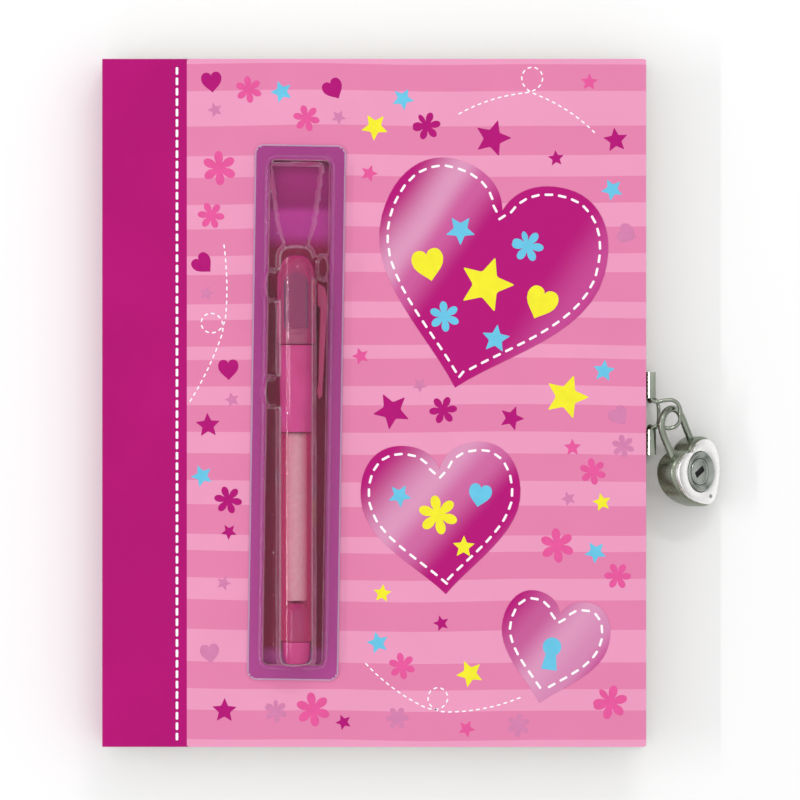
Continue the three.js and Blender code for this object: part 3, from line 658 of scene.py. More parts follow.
# %% [markdown]
# Each foil heart has a row of printed stitches inside its edge. The heart is drawn once from curves with
# handles, three for each half, as in a drawing program, and moved inwards by the stitch's inset. Every
# heart is then only a size, a middle and a turn.

# %% Heart outline
INSET_KEPT = 0.97


def curve_points(start, first_handle, second_handle, end, steps):
    """Points of a curve with two handles, without its last point."""
    points = []
    for i in range(steps):
        t = i / steps
        s = 1 - t
        handles = first_handle * (3 * s * s * t) + second_handle * (3 * s * t * t)
        points.append(start * s ** 3 + handles + end * t ** 3)
    return points


def heart_outline(width, height, steps=14, notch=0.33):
    """A heart round the origin with its tip down, starting at the tip. Its notch is a share of the height."""
    curves = (
        ((0, -0.5), (0.17, -0.3), (0.5, -0.12), (0.5, 0.17)),
        ((0.5, 0.17), (0.5, 0.38), (0.39, 0.5), (0.25, 0.5)),
        ((0.25, 0.5), (0.125, 0.5), (0.03, notch + 0.11), (0, notch)),
    )
    right = []
    for curve in curves:
        right += curve_points(*(Vector((x * width, y * height)) for x, y in curve), steps)
    left = [Vector((-p.x, p.y)) for p in reversed(right[1:])]
    return right + [Vector((0, notch * height))] + left


def inset_outline(points, inset):
    """The outline moved inwards, without the stretches that the move turns back at the tip and the notch."""
    moved = []
    for before, point, after in zip(points[-1:] + points, points, points[1:] + points[:1]):
        along = (after - before).normalized()
        moved.append(point + Vector((-along.y, along.x)) * inset)
    return [m for m in moved if min((m - p).length for p in points) > inset * INSET_KEPT]


def placed(points, middle, angle):
    turn = Matrix.Rotation(angle, 2)
    return [turn @ p + middle for p in points]


print("a heart has", len(heart_outline(1, 1)), "points")

# %% Heart stitches
HEARTS_MM = {
    "large": {"middle": (34.2, 38.1), "width": 72, "height": 69, "turn": -15},
    "medium": {"middle": (21.2, -36.3), "width": 50, "height": 47, "turn": 3},
    "small": {"middle": (55.5, -77.2), "width": 34, "height": 34, "turn": -13},
}
HEART_STITCH = {"dash": 2.7 * MM, "period": 4.2 * MM, "width": 0.75 * MM}
STITCH_INSET = 2.6 * MM
heart_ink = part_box("foil_heart_large")[1].z + INK_LIFT
heart_edges = []

for size_name, heart in HEARTS_MM.items():
    edge = heart_outline(heart["width"] * MM, heart["height"] * MM)
    heart_place = (Vector(heart["middle"]) * MM, math.radians(heart["turn"]))
    heart_edges.append(placed(edge, *heart_place))
    line = placed(inset_outline(edge, STITCH_INSET), *heart_place)
    stitches = dashes_along(line + line[:1], height=heart_ink, **HEART_STITCH)
    piece(f"foil_heart_{size_name}_stitches", stitches, INK_WHITE, "front_cover", "foil")

# %% [markdown]
# The stripes are strewn with small stars, flowers and hearts in five inks. An ink is a thin film, so it
# keeps the gloss of the film over the paper, and the magenta and the silvery ones have a little metal in
# them.

# %% Inks
def ink(name, base, roughness=0.45, metallic=0.0):
    finish = Finish("ink_" + name, base, roughness, metallic, PRINT_GLOSS)
    gloss = (200, roughness - 0.08, roughness + 0.08)
    return finish.surface((300, 4.0, scaled(base, 0.93), base, 0.35), gloss)


INKS = {
    "magenta": ink("magenta", colour(181, 18, 120), 0.3, 0.2),
    "rose": ink("rose", colour(230, 88, 156)),
    "silver_pink": ink("silver_pink", colour(214, 130, 176), 0.28, 0.3),
    "yellow": ink("yellow", colour(244, 236, 48)),
    "cyan": ink("cyan", colour(106, 198, 230)),
}
print("inks", len(INKS))

# %% [markdown]
# A printed star or flower is a flat shape with a sharp outline. It could be traced point by point, but both
# start as a circle whose points are pulled in and out: ten points make a star, and sixty make the waves of
# a flower.

# %% Motifs
STAR_POINTS = 10
STAR_WAIST = 0.46
STAR_ROUNDING = 0.07
FLOWER_POINTS = 60
FLOWER_WAIST = 0.34


def add_ring(shape, points, reach, middle, size, turn, height):
    """A flat motif: a circle of points, each pulled to its own reach, filled."""
    ring = bmesh.ops.create_circle(shape, cap_ends=True, segments=points, radius=1.0)["verts"]
    for i, vert in enumerate(ring):
        vert.co *= reach(i)
    place = Matrix.Translation((*middle, height)) @ Matrix.Rotation(turn, 4, "Z")
    bmesh.ops.transform(shape, matrix=place @ Matrix.Diagonal((size, size, 1, 1)), verts=ring)
    return ring


def add_star(shape, *where):
    ring = add_ring(shape, STAR_POINTS, lambda i: 1.0 if i % 2 else STAR_WAIST, *where)
    rounded(shape, ring, where[1] * STAR_ROUNDING, 2, "VERTICES")


def petal(i):
    return FLOWER_WAIST + (1 - FLOWER_WAIST) * abs(math.cos(3 * math.tau * i / FLOWER_POINTS)) ** 0.75


def add_flower(shape, *where):
    add_ring(shape, FLOWER_POINTS, petal, *where)


def add_outline(shape, points, height):
    shape.faces.new([shape.verts.new((*p, height)) for p in points])


def add_heart(shape, middle, size, turn, height):
    add_outline(shape, placed(heart_outline(2 * size, 2 * size, 5), middle, turn), height)


print("motifs: star, flower and heart")

# %% [markdown]
# Three dashed curls, like the trail of something that flew off, fill the larger gaps. A curl could be a
# spline with handles. A line that walks along its own heading is shorter to write: it bends a little at
# every step, and coils once in the middle of its way.

# %% Dashed curls
CURL = {"dash": 1.3 * MM, "period": 2.2 * MM, "width": 0.45 * MM}
CURLS = (
    {"start": (-47, 50), "heading": -82, "length": 72, "bend": -40, "coils": -1},
    {"start": (26, 90), "heading": 30, "length": 70, "bend": -75, "coils": 1},
    {"start": (-3, -81), "heading": -48, "length": 74, "bend": 70, "coils": 1},
)
CURL_STEPS = 160
COIL_FROM = 0.3
COIL_TO = 0.7


def smooth_share(value, low, high):
    """The value as 0 at the low end and 1 at the high end, with soft ends."""
    held = min(max((value - low) / (high - low), 0.0), 1.0)
    return held * held * (3 - 2 * held)


def curl_line(start, heading, length, bend, coils):
    """A line that sets off with a heading, bends by an angle on its way and coils in the middle."""
    points = [Vector(start) * MM]
    for i in range(CURL_STEPS):
        t = (i + 0.5) / CURL_STEPS
        coil = math.tau * coils * smooth_share(t, COIL_FROM, COIL_TO)
        angle = math.radians(heading + bend * t) + coil
        points += [points[-1] + Vector((math.cos(angle), math.sin(angle))) * length * MM / CURL_STEPS]
    return points


curl_lines = [curl_line(**curl) for curl in CURLS]
for number, line in enumerate(curl_lines, 1):
    trail = dashes_along(line, height=ink_top + INK_LIFT, **CURL)
    piece(f"printed_curl_{number}", trail, INK_WHITE, "front_cover", "cover_print")

# %% [markdown]
# The layout of the motifs is this lesson's own. Placed by hand they would take a long list, and true random
# places would clump. A fixed sequence that fills a space evenly gives each next place, and a place is taken
# only if it is clear of the hearts, the curls, the blister, the spine and the motifs so far.

# %% Scatter
MOTIF_PLAN = (
    ("yellow", add_star, 7.2, 1), ("yellow", add_star, 4.4, 2), ("yellow", add_star, 3.0, 2),
    ("magenta", add_star, 6.0, 2), ("magenta", add_star, 4.0, 4), ("magenta", add_star, 2.6, 4),
    ("rose", add_star, 2.8, 5), ("cyan", add_star, 3.6, 7), ("silver_pink", add_star, 2.4, 7),
    ("rose", add_flower, 5.4, 4), ("rose", add_flower, 4.2, 6), ("magenta", add_flower, 4.4, 3),
    ("silver_pink", add_flower, 3.6, 4), ("magenta", add_heart, 3.2, 4), ("silver_pink", add_heart, 3.0, 3),
)
SEQUENCE_START = 0.37
SEQUENCE_STEPS = (0.7548776662, 0.5698402910)
TURN_STEP = 0.618
LAST_DRAW = 6000
MOTIF_GAP = 2.2 * MM
COVER_MARGIN = 2.5 * MM
CURL_REACH = 0.5 * MM
EDGE_REACH = 0.4 * MM
card_low, card_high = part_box("backing_card")
sheet_low, sheet_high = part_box("front_print_sheet")


def clear_of_hearts(spot, room):
    """Whether the spot is outside an oval round each heart; the hearts' lobes are among the taken spots."""
    for heart in HEARTS_MM.values():
        local = Matrix.Rotation(-math.radians(heart["turn"]), 2) @ (spot - Vector(heart["middle"]) * MM)
        half = Vector((heart["width"], heart["height"])) * MM / 2 + Vector((room, room))
        if math.hypot(local.x / half.x, local.y / half.y) < 1.0:
            return False
    return True


def clear_of_card(spot, room):
    across = spot.x < card_low.x - room or spot.x > card_high.x + room
    return across or spot.y < card_low.y - room or spot.y > card_high.y + room


def free_spot(taken, size, count):
    """The next place of the sequence where a motif of this size is clear of all else, and its number."""
    room = size + COVER_MARGIN
    left = STITCH_X + room + MM
    width = sheet_high.x - room - left
    height = sheet_high.y - sheet_low.y - 2 * room
    while count < LAST_DRAW:
        count += 1
        share_x, share_y = ((SEQUENCE_START + count * step) % 1 for step in SEQUENCE_STEPS)
        spot = Vector((left + width * share_x, sheet_low.y + room + height * share_y))
        clear = all((spot - other).length > size + reach + MOTIF_GAP for other, reach in taken)
        if clear and clear_of_hearts(spot, size + MM) and clear_of_card(spot, size + MM):
            return spot, count
    return None, count


ink_shapes = {name: bmesh.new() for name in INKS}
taken_spots = [(point, CURL_REACH) for line in curl_lines for point in line]
taken_spots += [(point, EDGE_REACH) for edge in heart_edges for point in edge]
already_taken = len(taken_spots)
draw = 0
for ink_name, add_motif, radius_mm, copies in MOTIF_PLAN:
    for _ in range(copies):
        found, draw = free_spot(taken_spots, radius_mm * MM, draw)
        if found is None:
            draw = 0
            continue
        taken_spots.append((found, radius_mm * MM))
        turn = math.tau * (draw * TURN_STEP % 1) / 5
        add_motif(ink_shapes[ink_name], found, radius_mm * MM, turn, ink_top)
print("scattered motifs", len(taken_spots) - already_taken)

# %% [markdown]
# The two larger hearts carry a few bright motifs of their own, and the small one a keyhole: the larger part
# of a circle, closed by a foot that widens downwards. They go into the same shapes as the scatter, one for
# each ink, so that all the motifs together are five pieces.

# %% Motifs on the hearts
HEART_MOTIFS = (
    ("yellow", add_star, (35, 37), 9.0, 0.3), ("yellow", add_heart, (17, 43), 5.0, 0.2),
    ("yellow", add_heart, (52, 31), 5.0, -0.4), ("cyan", add_star, (27, 54), 4.8, 0.0),
    ("cyan", add_flower, (48, 49), 5.0, 0.4), ("cyan", add_flower, (22, 27), 4.8, 0.1),
    ("cyan", add_star, (38, 20), 4.6, 0.5), ("yellow", add_flower, (20, -35), 6.2, 0.2),
    ("cyan", add_star, (8, -29), 3.8, 0.1), ("cyan", add_heart, (33, -29), 3.6, -0.2),
    ("yellow", add_star, (28, -45), 3.6, 0.6),
)
KEYHOLE_MIDDLE = Vector((55.6, -76.2)) * MM
KEYHOLE_RADIUS = 2.9 * MM
KEYHOLE_TURN = math.radians(-8)
KEYHOLE_ARC = (-56, 236, 30)
for ink_name, add_motif, spot_mm, radius_mm, turn in HEART_MOTIFS:
    add_motif(ink_shapes[ink_name], Vector(spot_mm) * MM, radius_mm * MM, turn, heart_ink)

keyhole = arc((0, 0), KEYHOLE_RADIUS, *KEYHOLE_ARC)
keyhole += [Vector((side * 0.85, -2.5)) * KEYHOLE_RADIUS for side in (-1, 1)]
add_outline(ink_shapes["cyan"], placed(keyhole, KEYHOLE_MIDDLE, KEYHOLE_TURN), heart_ink)

for ink_name, ink_shape in ink_shapes.items():
    piece("printed_" + ink_name, ink_shape, INKS[ink_name], "front_cover", "cover_print")

# %% [markdown]
# The blister is a clear sheet drawn over a mould, so from above it is a height field: a flange, a tray
# whose walls lean in, a half-round dome over the pen, a funnel-shaped hopper past its tip and three lumps
# that grip the pen. A grid is laid over the card, each point is lifted to the highest of those forms, and a
# little smoothing rounds the folds as hot plastic does.

# %% Forms of the blister
BLISTER_TURN = math.radians(-0.86)
DRAFT = 0.9 * MM
FLANGE_WIDTH = 28.5 * MM
FLANGE_RIM = 3.6 * MM
FLANGE_CORNER = 3 * MM
HOPPER_HALF_WIDTHS = ((0.0, 9.2 * MM), (20 * MM, 6.5 * MM), (27.5 * MM, 4.4 * MM))
HOPPER_WALL = 1.5 * MM
HOPPER_LAP = 6 * MM
HOPPER_SLOPE = (18 * MM, 26 * MM)
HOPPER_DROP = 1.2 * MM
DOME_END = 4 * MM
DOME_SHRINK = 2.5 * MM
BOSSES_MM = ((-32.0, 36.5, 3.0, 5.5), (-15.8, 42.0, 2.6, 4.5), (-32.0, 3.5, 3.0, 5.5))
BOSS_RISE = 3.4 * MM
barrel_low, barrel_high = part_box("pen_barrel")
pen_axis = (barrel_low + barrel_high) / 2
plug_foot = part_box("pen_end_plug")[0].y
head_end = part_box("light_head")[1].y
flange_top = card_high.z + 0.4 * MM
tray_roof = card_high.z + 6.5 * MM
hopper_roof = card_high.z + 9.5 * MM
dome_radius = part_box("blister")[1].z - pen_axis.z
dome_foot = plug_foot - 1.2 * MM
dome_head = head_end + 3.1 * MM
card_middle = (card_low + card_high) / 2
flange_half = Vector((FLANGE_WIDTH / 2, (card_high.y - card_low.y) / 2))
tray_half = flange_half - Vector((FLANGE_RIM, FLANGE_RIM))


def inside_rounded(x, y, half, radius):
    """How far a point is inside a rounded rectangle round the origin; negative outside."""
    dx = abs(x) - (half.x - radius)
    dy = abs(y) - (half.y - radius)
    outer = math.hypot(max(dx, 0.0), max(dy, 0.0))
    return radius - outer - min(max(dx, dy), 0.0)


def hopper_half_width(along):
    """Half the hopper's width at a distance from the tray's tip end."""
    for (start, wide), (end, narrow) in zip(HOPPER_HALF_WIDTHS, HOPPER_HALF_WIDTHS[1:]):
        if along <= end:
            return wide + (narrow - wide) * max(along - start, 0) / (end - start)
    return HOPPER_HALF_WIDTHS[-1][1]


def dome_height(x, y):
    end_room = min(y - dome_foot, dome_head - y)
    if end_room <= 0:
        return flange_top
    shrink = DOME_SHRINK * (1 - math.sqrt(1 - (1 - min(end_room / DOME_END, 1)) ** 2))
    reach = (dome_radius - shrink) ** 2 - (x - pen_axis.x) ** 2
    return pen_axis.z + math.sqrt(reach) if reach > 0 else flange_top


def hopper_height(x, y):
    along = card_middle.y + tray_half.y - HOPPER_WALL - y
    if along < 0 or y < dome_head - HOPPER_LAP:
        return flange_top
    share = smooth_share(hopper_half_width(along) - abs(x - pen_axis.x), 0, DRAFT)
    roof = hopper_roof - HOPPER_DROP * smooth_share(along, *HOPPER_SLOPE)
    return flange_top + (roof - flange_top) * share * smooth_share(along, 0, HOPPER_WALL)


def boss_height(x, y):
    """The height of the nearest lump that grips the pen, as a rounded form on the tray."""
    tallest = 0.0
    for middle_x, middle_y, half_x, half_y in BOSSES_MM:
        apart = math.hypot((x / MM - middle_x) / half_x, (y / MM - middle_y) / half_y)
        tallest = max(tallest, 1 - apart ** 4)
    return tray_roof + BOSS_RISE * math.sqrt(tallest) if tallest > 0 else flange_top


def form_height(local, x, y):
    tray = smooth_share(inside_rounded(*local, tray_half, FLANGE_CORNER), 0, DRAFT)
    tray_height = flange_top + (tray_roof - flange_top) * tray
    return max(tray_height, dome_height(x, y), hopper_height(x, y), boss_height(x, y))


print("dome radius", round(dome_radius / MM, 1), "mm, tray roof", round(tray_roof / MM, 1), "mm")

# %% [markdown]
# The grid's corners are pulled in on to the flange's rounded ones. The cut edge of a clear sheet catches
# the light all round, so a narrow band by the rim has a painted glint, a pale material of its own, and the
# blister is one piece with two finishes.

# %% Blister
GRID = 0.5 * MM
SHEET = 0.35 * MM
SMOOTHINGS = 2
PAINTED_GLINT_BAND = 0.45 * MM


def formed_sheet():
    shape = bmesh.new()
    counts = [round(2 * c / GRID) for c in flange_half]
    size = Matrix.Diagonal((*flange_half, 1, 1))
    bmesh.ops.create_grid(shape, x_segments=counts[0], y_segments=counts[1], size=1.0, matrix=size)
    turn = Matrix.Rotation(BLISTER_TURN, 2)
    for vert in shape.verts:
        flat = vert.co.xy
        past = flat - Vector([math.copysign(h - FLANGE_CORNER, c) for h, c in zip(flange_half, flat)])
        in_corner = past.x * flat.x > 0 and past.y * flat.y > 0
        if in_corner and past.length > FLANGE_CORNER:
            flat = flat - past + past.normalized() * FLANGE_CORNER
        spot = turn @ flat + card_middle.xy
        vert.co = (*spot, form_height(flat, *spot))
    inner = [v for v in shape.verts if not v.is_boundary]
    for _ in range(SMOOTHINGS):
        bmesh.ops.smooth_vert(shape, verts=inner, factor=0.5, use_axis_z=True)
    bmesh.ops.recalc_face_normals(shape, faces=shape.faces)
    if sum(f.normal.z for f in shape.faces) < 0:
        bmesh.ops.reverse_faces(shape, faces=shape.faces)
    bmesh.ops.solidify(shape, geom=list(shape.faces), thickness=SHEET)
    return shape


blister_shape = formed_sheet()
blister_sheet = piece(
    "blister_sheet", blister_shape, BLISTER_SHEET, "front_cover", "clear_plastic", "blister",
)
# Faces within the band by the flange's rim take the painted glint.
blister_sheet.data.materials.append(EDGE_PAINTED_GLINT)
turn_back = Matrix.Rotation(-BLISTER_TURN, 2)
for face in blister_sheet.data.polygons:
    local = turn_back @ (face.center.xy - card_middle.xy)
    if inside_rounded(*local, flange_half, FLANGE_CORNER) < PAINTED_GLINT_BAND:
        face.material_index = 1

# %% [markdown]
# The pen is turned work: barrel, ink rod, end plug, cap sleeve and the clear light head are each one
# section, spun about the pen's axis. A section is a list of radii and places along the pen, counted from
# one of its shoulders, so the five pieces are rows of a table and one loop makes them. Each row ends with
# whether its section closes on itself, as that of a tube does, and with the section.

# %% Turned pieces of the pen
PEN_STEPS = 64
pen_tail = barrel_low.y
shoulder, head_foot = (corner_point.y for corner_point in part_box("cap_sleeve"))
rod_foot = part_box("ink_reservoir")[0].y
TURNED_PIECES = (
    ("pen_barrel_tube", PEN_CLEAR, "front_cover", "pen_clear", "pen_barrel", True, (
        (pen_tail, (4.1, 0), (4.9, 0), (5.2, 0.6)),
        (shoulder, (5.2, -1.2), (5.0, -0.4), (3.9, -0.3), (3.7, 14), (2.4, 17)),
        (shoulder, (1.7, 17), (1.7, 2), (4.1, -2)),
    )),
    ("ink_fibre_rod", INK_FIBRE, "front_cover", "ink_fibre", "ink_reservoir", False, (
        (rod_foot, (0, 0), (3.0, 0), (3.3, 0.4)),
        (shoulder, (3.3, -0.6), (3.0, -0.2), (0, -0.2)),
    )),
    ("pen_end_cap", PEN_PINK, "front_cover", "pen_pink", "pen_end_plug", False, (
        (plug_foot, (0, 0), (2.2, 0), (3.0, 0.25), (3.7, 1.1), (4.05, 2.6), (4.25, 5.2), (4.4, 6.9)),
        (plug_foot, (4.2, 7.1), (3.65, 7.15), (3.6, 16.5), (3.2, 17.5), (2.0, 19.0), (0, 19.2)),
    )),
    ("cap_sleeve_tube", PEN_PINK, "pen_cap", "pen_pink", "cap_sleeve", True, (
        (shoulder, (4.4, 0), (4.85, 0), (5.05, 0.3), (5.2, 12)),
        (head_foot, (5.35, -4), (5.35, -0.3), (5.1, 0), (0, 0), (0, -1.5), (4.4, -1.5)),
    )),
    ("light_head_shell", HEAD_CLEAR, "pen_cap", "pen_clear", "light_head", True, (
        (head_foot, (4.5, 0.3), (5.6, 0.3), (5.95, 0.8), (6.1, 2.6), (6.1, 9)),
        (head_end, (6.1, -9), (5.9, -6), (5.3, -3.4), (4.2, -1.4), (2.6, -0.3), (0, 0)),
        (head_end, (0, -1.5), (3.0, -2.4), (4.5, -7)),
    )),
)


def spun(section, axis, steps, closed=False):
    """A solid of revolution about an axis through the origin, from a chain of points."""
    shape = bmesh.new()
    chain = [shape.verts.new(point) for point in section]
    ends = chain[1:] + chain[:1] if closed else chain[1:]
    edges = [shape.edges.new(pair) for pair in zip(chain, ends)]
    bmesh.ops.spin(
        shape, geom=chain + edges, cent=(0, 0, 0), axis=axis, angle=math.tau, steps=steps, use_merge=True,
    )
    return shape


for piece_name, material, body, slot, node_name, closed, runs in TURNED_PIECES:
    section = [(radius * MM, start + y * MM, 0) for start, *run in runs for radius, y in run]
    turned = spun(section, (0, 1, 0), PEN_STEPS, closed)
    bmesh.ops.translate(turned, verts=turned.verts, vec=(pen_axis.x, 0, pen_axis.z))
    piece(piece_name, turned, material, body, slot, node_name)

# %% [markdown]
# The head has a flat window with an arched end on its upper side, which is the push button over the cells.
# The clip is a thin bar beside the sleeve. Both are flat outlines, so one helper fills an outline, extrudes
# it upwards and rounds its edges with a bevel.

# %% Push button and pocket clip
ARCH_STEPS = 20
BUTTON_ROUNDING = 0.25 * MM
CLIP_ROUNDING = 0.45 * MM


def slab_of(outline, low_z, high_z, rounding, segments=3):
    """A flat outline filled, extruded upwards and rounded at its edges."""
    shape = bmesh.new()
    base = shape.faces.new([shape.verts.new((*p, low_z)) for p in outline])
    shifted(shape, bmesh.ops.extrude_face_region(shape, geom=[base]), (0, 0, high_z - low_z))
    sides = len(outline)
    rims = [e for e in shape.edges if any(len(f.verts) == sides for f in e.link_faces)]
    rounded(shape, rims, rounding, segments)
    return shape


def beside(x, step_x, y, step_y):
    return Vector((x + step_x * MM, y + step_y * MM))


button_low, button_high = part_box("light_button")
button_half = (button_high.x - button_low.x) / 2
button_outline = arc((pen_axis.x, button_high.y - button_half), button_half, 0, 180, ARCH_STEPS)
button_outline += [button_low.xy, Vector((button_high.x, button_low.y))]
button_shape = slab_of(button_outline, button_low.z, button_high.z, BUTTON_ROUNDING)
piece("light_button_window", button_shape, WINDOW_SMOKE, "light_button", "clear_plastic", "light_button")

clip_low, clip_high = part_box("pocket_clip")
left, foot = clip_low.xy
right, top = clip_high.xy
clip_outline = [
    beside(left, 0, top, -7.5), beside(left, 0.9, top, -8.1), beside(left, 0.4, foot, 5),
    beside(left, -0.2, foot, 2.4), beside(left, 0.6, foot, 0), beside(left, 1.7, foot, 1.0),
    beside(right, -0.1, top, -9), beside(right, 0, top, -5), beside(right, -0.9, top, -1.6),
    beside(left, 0, top, 0),
]
clip_shape = slab_of(clip_outline, clip_low.z, clip_high.z, CLIP_ROUNDING)
piece("pocket_clip_bar", clip_shape, PEN_CLIP_RED, "pen_cap", "pen_pink", "pocket_clip")

# %% [markdown]
# The padlock is built upright round the middle of its shackle's arch, the way it would be drawn, and then
# laid in place by one matrix: the way it hangs, and the way its face is turned. Both directions are unit
# vectors, and their cross product is the way out of the face.

# %% Padlock frame
ARCH_MIDDLE = Vector((93.41, -7.09, 16.66)) * MM
HANG_AZIMUTH = math.radians(-67.4)
HANG_DROOP = math.radians(21.5)
FACE_AZIMUTH = math.radians(41.4)
hang = Vector((
    math.cos(HANG_DROOP) * math.cos(HANG_AZIMUTH),
    math.cos(HANG_DROOP) * math.sin(HANG_AZIMUTH),
    -math.sin(HANG_DROOP),
))
across = Vector((math.cos(FACE_AZIMUTH), math.sin(FACE_AZIMUTH), 0))
across.z = -(hang.x * across.x + hang.y * across.y) / hang.z
across.normalize()
face_out = across.cross(-hang)
lock_place = Matrix.Translation(ARCH_MIDDLE) @ Matrix((across, -hang, face_out)).transposed().to_4x4()


def laid(shape):
    bmesh.ops.transform(shape, matrix=lock_place, verts=shape.verts)
    return shape


print("the padlock's face looks along", [round(c, 2) for c in face_out])

# %% [markdown]
# The case and the face plate are the same heart at two sizes, softened at the tip and the notch as a cast
# case is. The case is a slab. The plate has a round hole for the keyhole's collar: it could be cut with a
# boolean, but a ring of faces bridged between the outline and the hole gives cleaner edges to round.

# %% Padlock case and face
LOBE_TOP = -8 * MM
LOCK_WIDTH = 22.5 * MM
LOCK_HEIGHT = 21 * MM
LOCK_NOTCH = 0.42
LOCK_STEPS = 12
SOFTENINGS = 12
PLATE_INSET = 0.8 * MM
CASE_BACK = -4.3 * MM
CASE_FRONT = 2.9 * MM
PLATE_FRONT = 4.3 * MM
COLLAR_RADIUS = 6.3 * MM
COLLAR_ROOM = 0.1 * MM
RIM_ANGLE = math.radians(45)
heart_middle = Vector((0, LOBE_TOP - LOCK_HEIGHT / 2))
plug_middle = Vector((0, LOBE_TOP - 9 * MM))


def lock_outline(inset=0.0):
    """The lock's heart, with its tip and notch softened by moving each point between its neighbours."""
    size = Vector((LOCK_WIDTH - 2 * inset, LOCK_HEIGHT - 2 * inset))
    points = heart_outline(*size, LOCK_STEPS, LOCK_NOTCH)
    for _ in range(SOFTENINGS):
        neighbours = zip(points[-1:] + points, points, points[1:] + points[:1])
        points = [(before + point * 2 + after) / 4 for before, point, after in neighbours]
    low = Vector([min(p[axis] for p in points) for axis in (0, 1)])
    high = Vector([max(p[axis] for p in points) for axis in (0, 1)])
    scale = Matrix.Diagonal([size[axis] / (high[axis] - low[axis]) for axis in (0, 1)])
    return [scale @ (p - (low + high) / 2) + heart_middle for p in points]


def pierced_plate(outline, hole_radius, back, front, rounding):
    """A plate between an outline and a round hole, with as many points on the hole as on the outline."""
    shape = bmesh.new()
    hole = [(p - plug_middle).normalized() * hole_radius + plug_middle for p in outline]
    loops = []
    for ring in (outline, hole):
        verts = [shape.verts.new((*p, back)) for p in ring]
        loops += [shape.edges.new(pair) for pair in zip(verts[-1:] + verts, verts)]
    base = bmesh.ops.bridge_loops(shape, edges=loops)["faces"]
    grown = bmesh.ops.extrude_face_region(shape, geom=base)
    tops = set(shifted(shape, grown, (0, 0, front - back)))
    rims = [e for e in shape.edges if set(e.verts) <= tops and e.calc_face_angle(0) > RIM_ANGLE]
    rounded(shape, rims, rounding, 3)
    return shape


case_shape = slab_of(lock_outline(), CASE_BACK, CASE_FRONT, 1.0 * MM, 4)
piece("padlock_case", laid(case_shape), TUMBLED_NICKEL, "padlock", "nickel_steel", "lock_case")
plate_shape = pierced_plate(
    lock_outline(PLATE_INSET), COLLAR_RADIUS + COLLAR_ROOM, CASE_FRONT, PLATE_FRONT, 0.35 * MM,
)
piece("padlock_face", laid(plate_shape), POLISHED_NICKEL, "padlock", "polished_nickel", "lock_face_plate")

# %% [markdown]
# The collar is a dished ring, and the key plug a disc inside it. Both are spun about the plug's axis, from
# heights over the lock's face. The keyway is a slot too narrow to see into, so a thin dark slab of painted
# shade stands for the shade in it, and it turns with the plug. A small pin sits near the heart's tip.

# %% Collar, key plug and pin
COLLAR_SECTION_MM = (
    (6.3, -1.3), (6.3, 0.15), (6.15, 0.4), (5.9, 0.5), (5.6, 0.4), (5.0, -0.1), (4.6, -0.4), (4.35, -0.5),
    (4.3, -1.3),
)
PLUG_SECTION_MM = (
    (4.2, -1.3), (4.2, -0.5), (4.05, -0.35), (3.7, -0.35), (3.5, -0.5), (3.2, -0.55), (0, -0.55),
)
KEYWAY_HALF = Vector((2.2, 0.95)) * MM
KEYWAY_DEPTHS = (-1.2 * MM, -0.45 * MM)
FACE_STEPS = 48
PIN_SIZE = {"radius1": 0.7 * MM, "radius2": 0.45 * MM, "depth": 0.4 * MM}
PIN_FROM_TIP = 3.0 * MM


def spun_on_face(section_mm):
    """A ring or disc about the plug's axis, from (radius, height over the face) points."""
    section = [(radius * MM, 0, PLATE_FRONT + z * MM) for radius, z in section_mm]
    shape = spun(section, (0, 0, 1), FACE_STEPS)
    bmesh.ops.translate(shape, verts=shape.verts, vec=(*plug_middle, 0))
    return laid(shape)


collar = spun_on_face(COLLAR_SECTION_MM)
piece("keyhole_dish", collar, DISHED_NICKEL, "padlock", "nickel_steel", "keyhole_collar")
plug_disc = spun_on_face(PLUG_SECTION_MM)
piece("key_plug_disc", plug_disc, DISHED_NICKEL, "key_plug", "nickel_steel", "key_plug")

keyway_corners = [
    plug_middle + Vector((side_x * KEYWAY_HALF.x, side_y * KEYWAY_HALF.y))
    for side_x, side_y in ((-1, -1), (1, -1), (1, 1), (-1, 1))
]
# The keyway's shade, painted on a thin dark slab over the plug.
keyway_shape = slab_of(keyway_corners, *(PLATE_FRONT + depth for depth in KEYWAY_DEPTHS), 0.05 * MM, 1)
piece("keyway_shade", laid(keyway_shape), KEYWAY_PAINTED_SHADE, "key_plug", "nickel_steel")

pin_shape = bmesh.new()
pin_place = Matrix.Translation((0, LOBE_TOP - LOCK_HEIGHT + PIN_FROM_TIP, PLATE_FRONT + 0.1 * MM))
bmesh.ops.create_cone(pin_shape, cap_ends=True, segments=24, matrix=pin_place, **PIN_SIZE)
piece("face_pin", laid(pin_shape), DISHED_NICKEL, "padlock", "nickel_steel")

# %% [markdown]
# The shackle and the two hasp loops are bent wire. A curve with a round bevel is the natural way to make
# wire: its points are the bends, its automatic handles keep them smooth, and its bevel depth is the wire's
# radius.

# %% Hasp loops
WIRE_RADIUS = 0.6 * MM
FRONT_TILT = math.radians(-5)
BACK_TILT = math.radians(72)
KNUCKLE_RADIUS = 1.6 * MM
WIRE_BENDS_MM = (
    (0, 8.6), (0, 4.0), (0, 1.8), (1.2, 0.5), (4.4, 0.8), (7.3, 0.7), (9.0, -1.2), (9.3, -3.8),
    (8.6, -6.6), (6.2, -7.9), (3.4, -7.6), (1.2, -7.4), (0, -8.7), (0, -10.9), (0, -15.2),
)
knuckle_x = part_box("front_hasp")[1].x - KNUCKLE_RADIUS


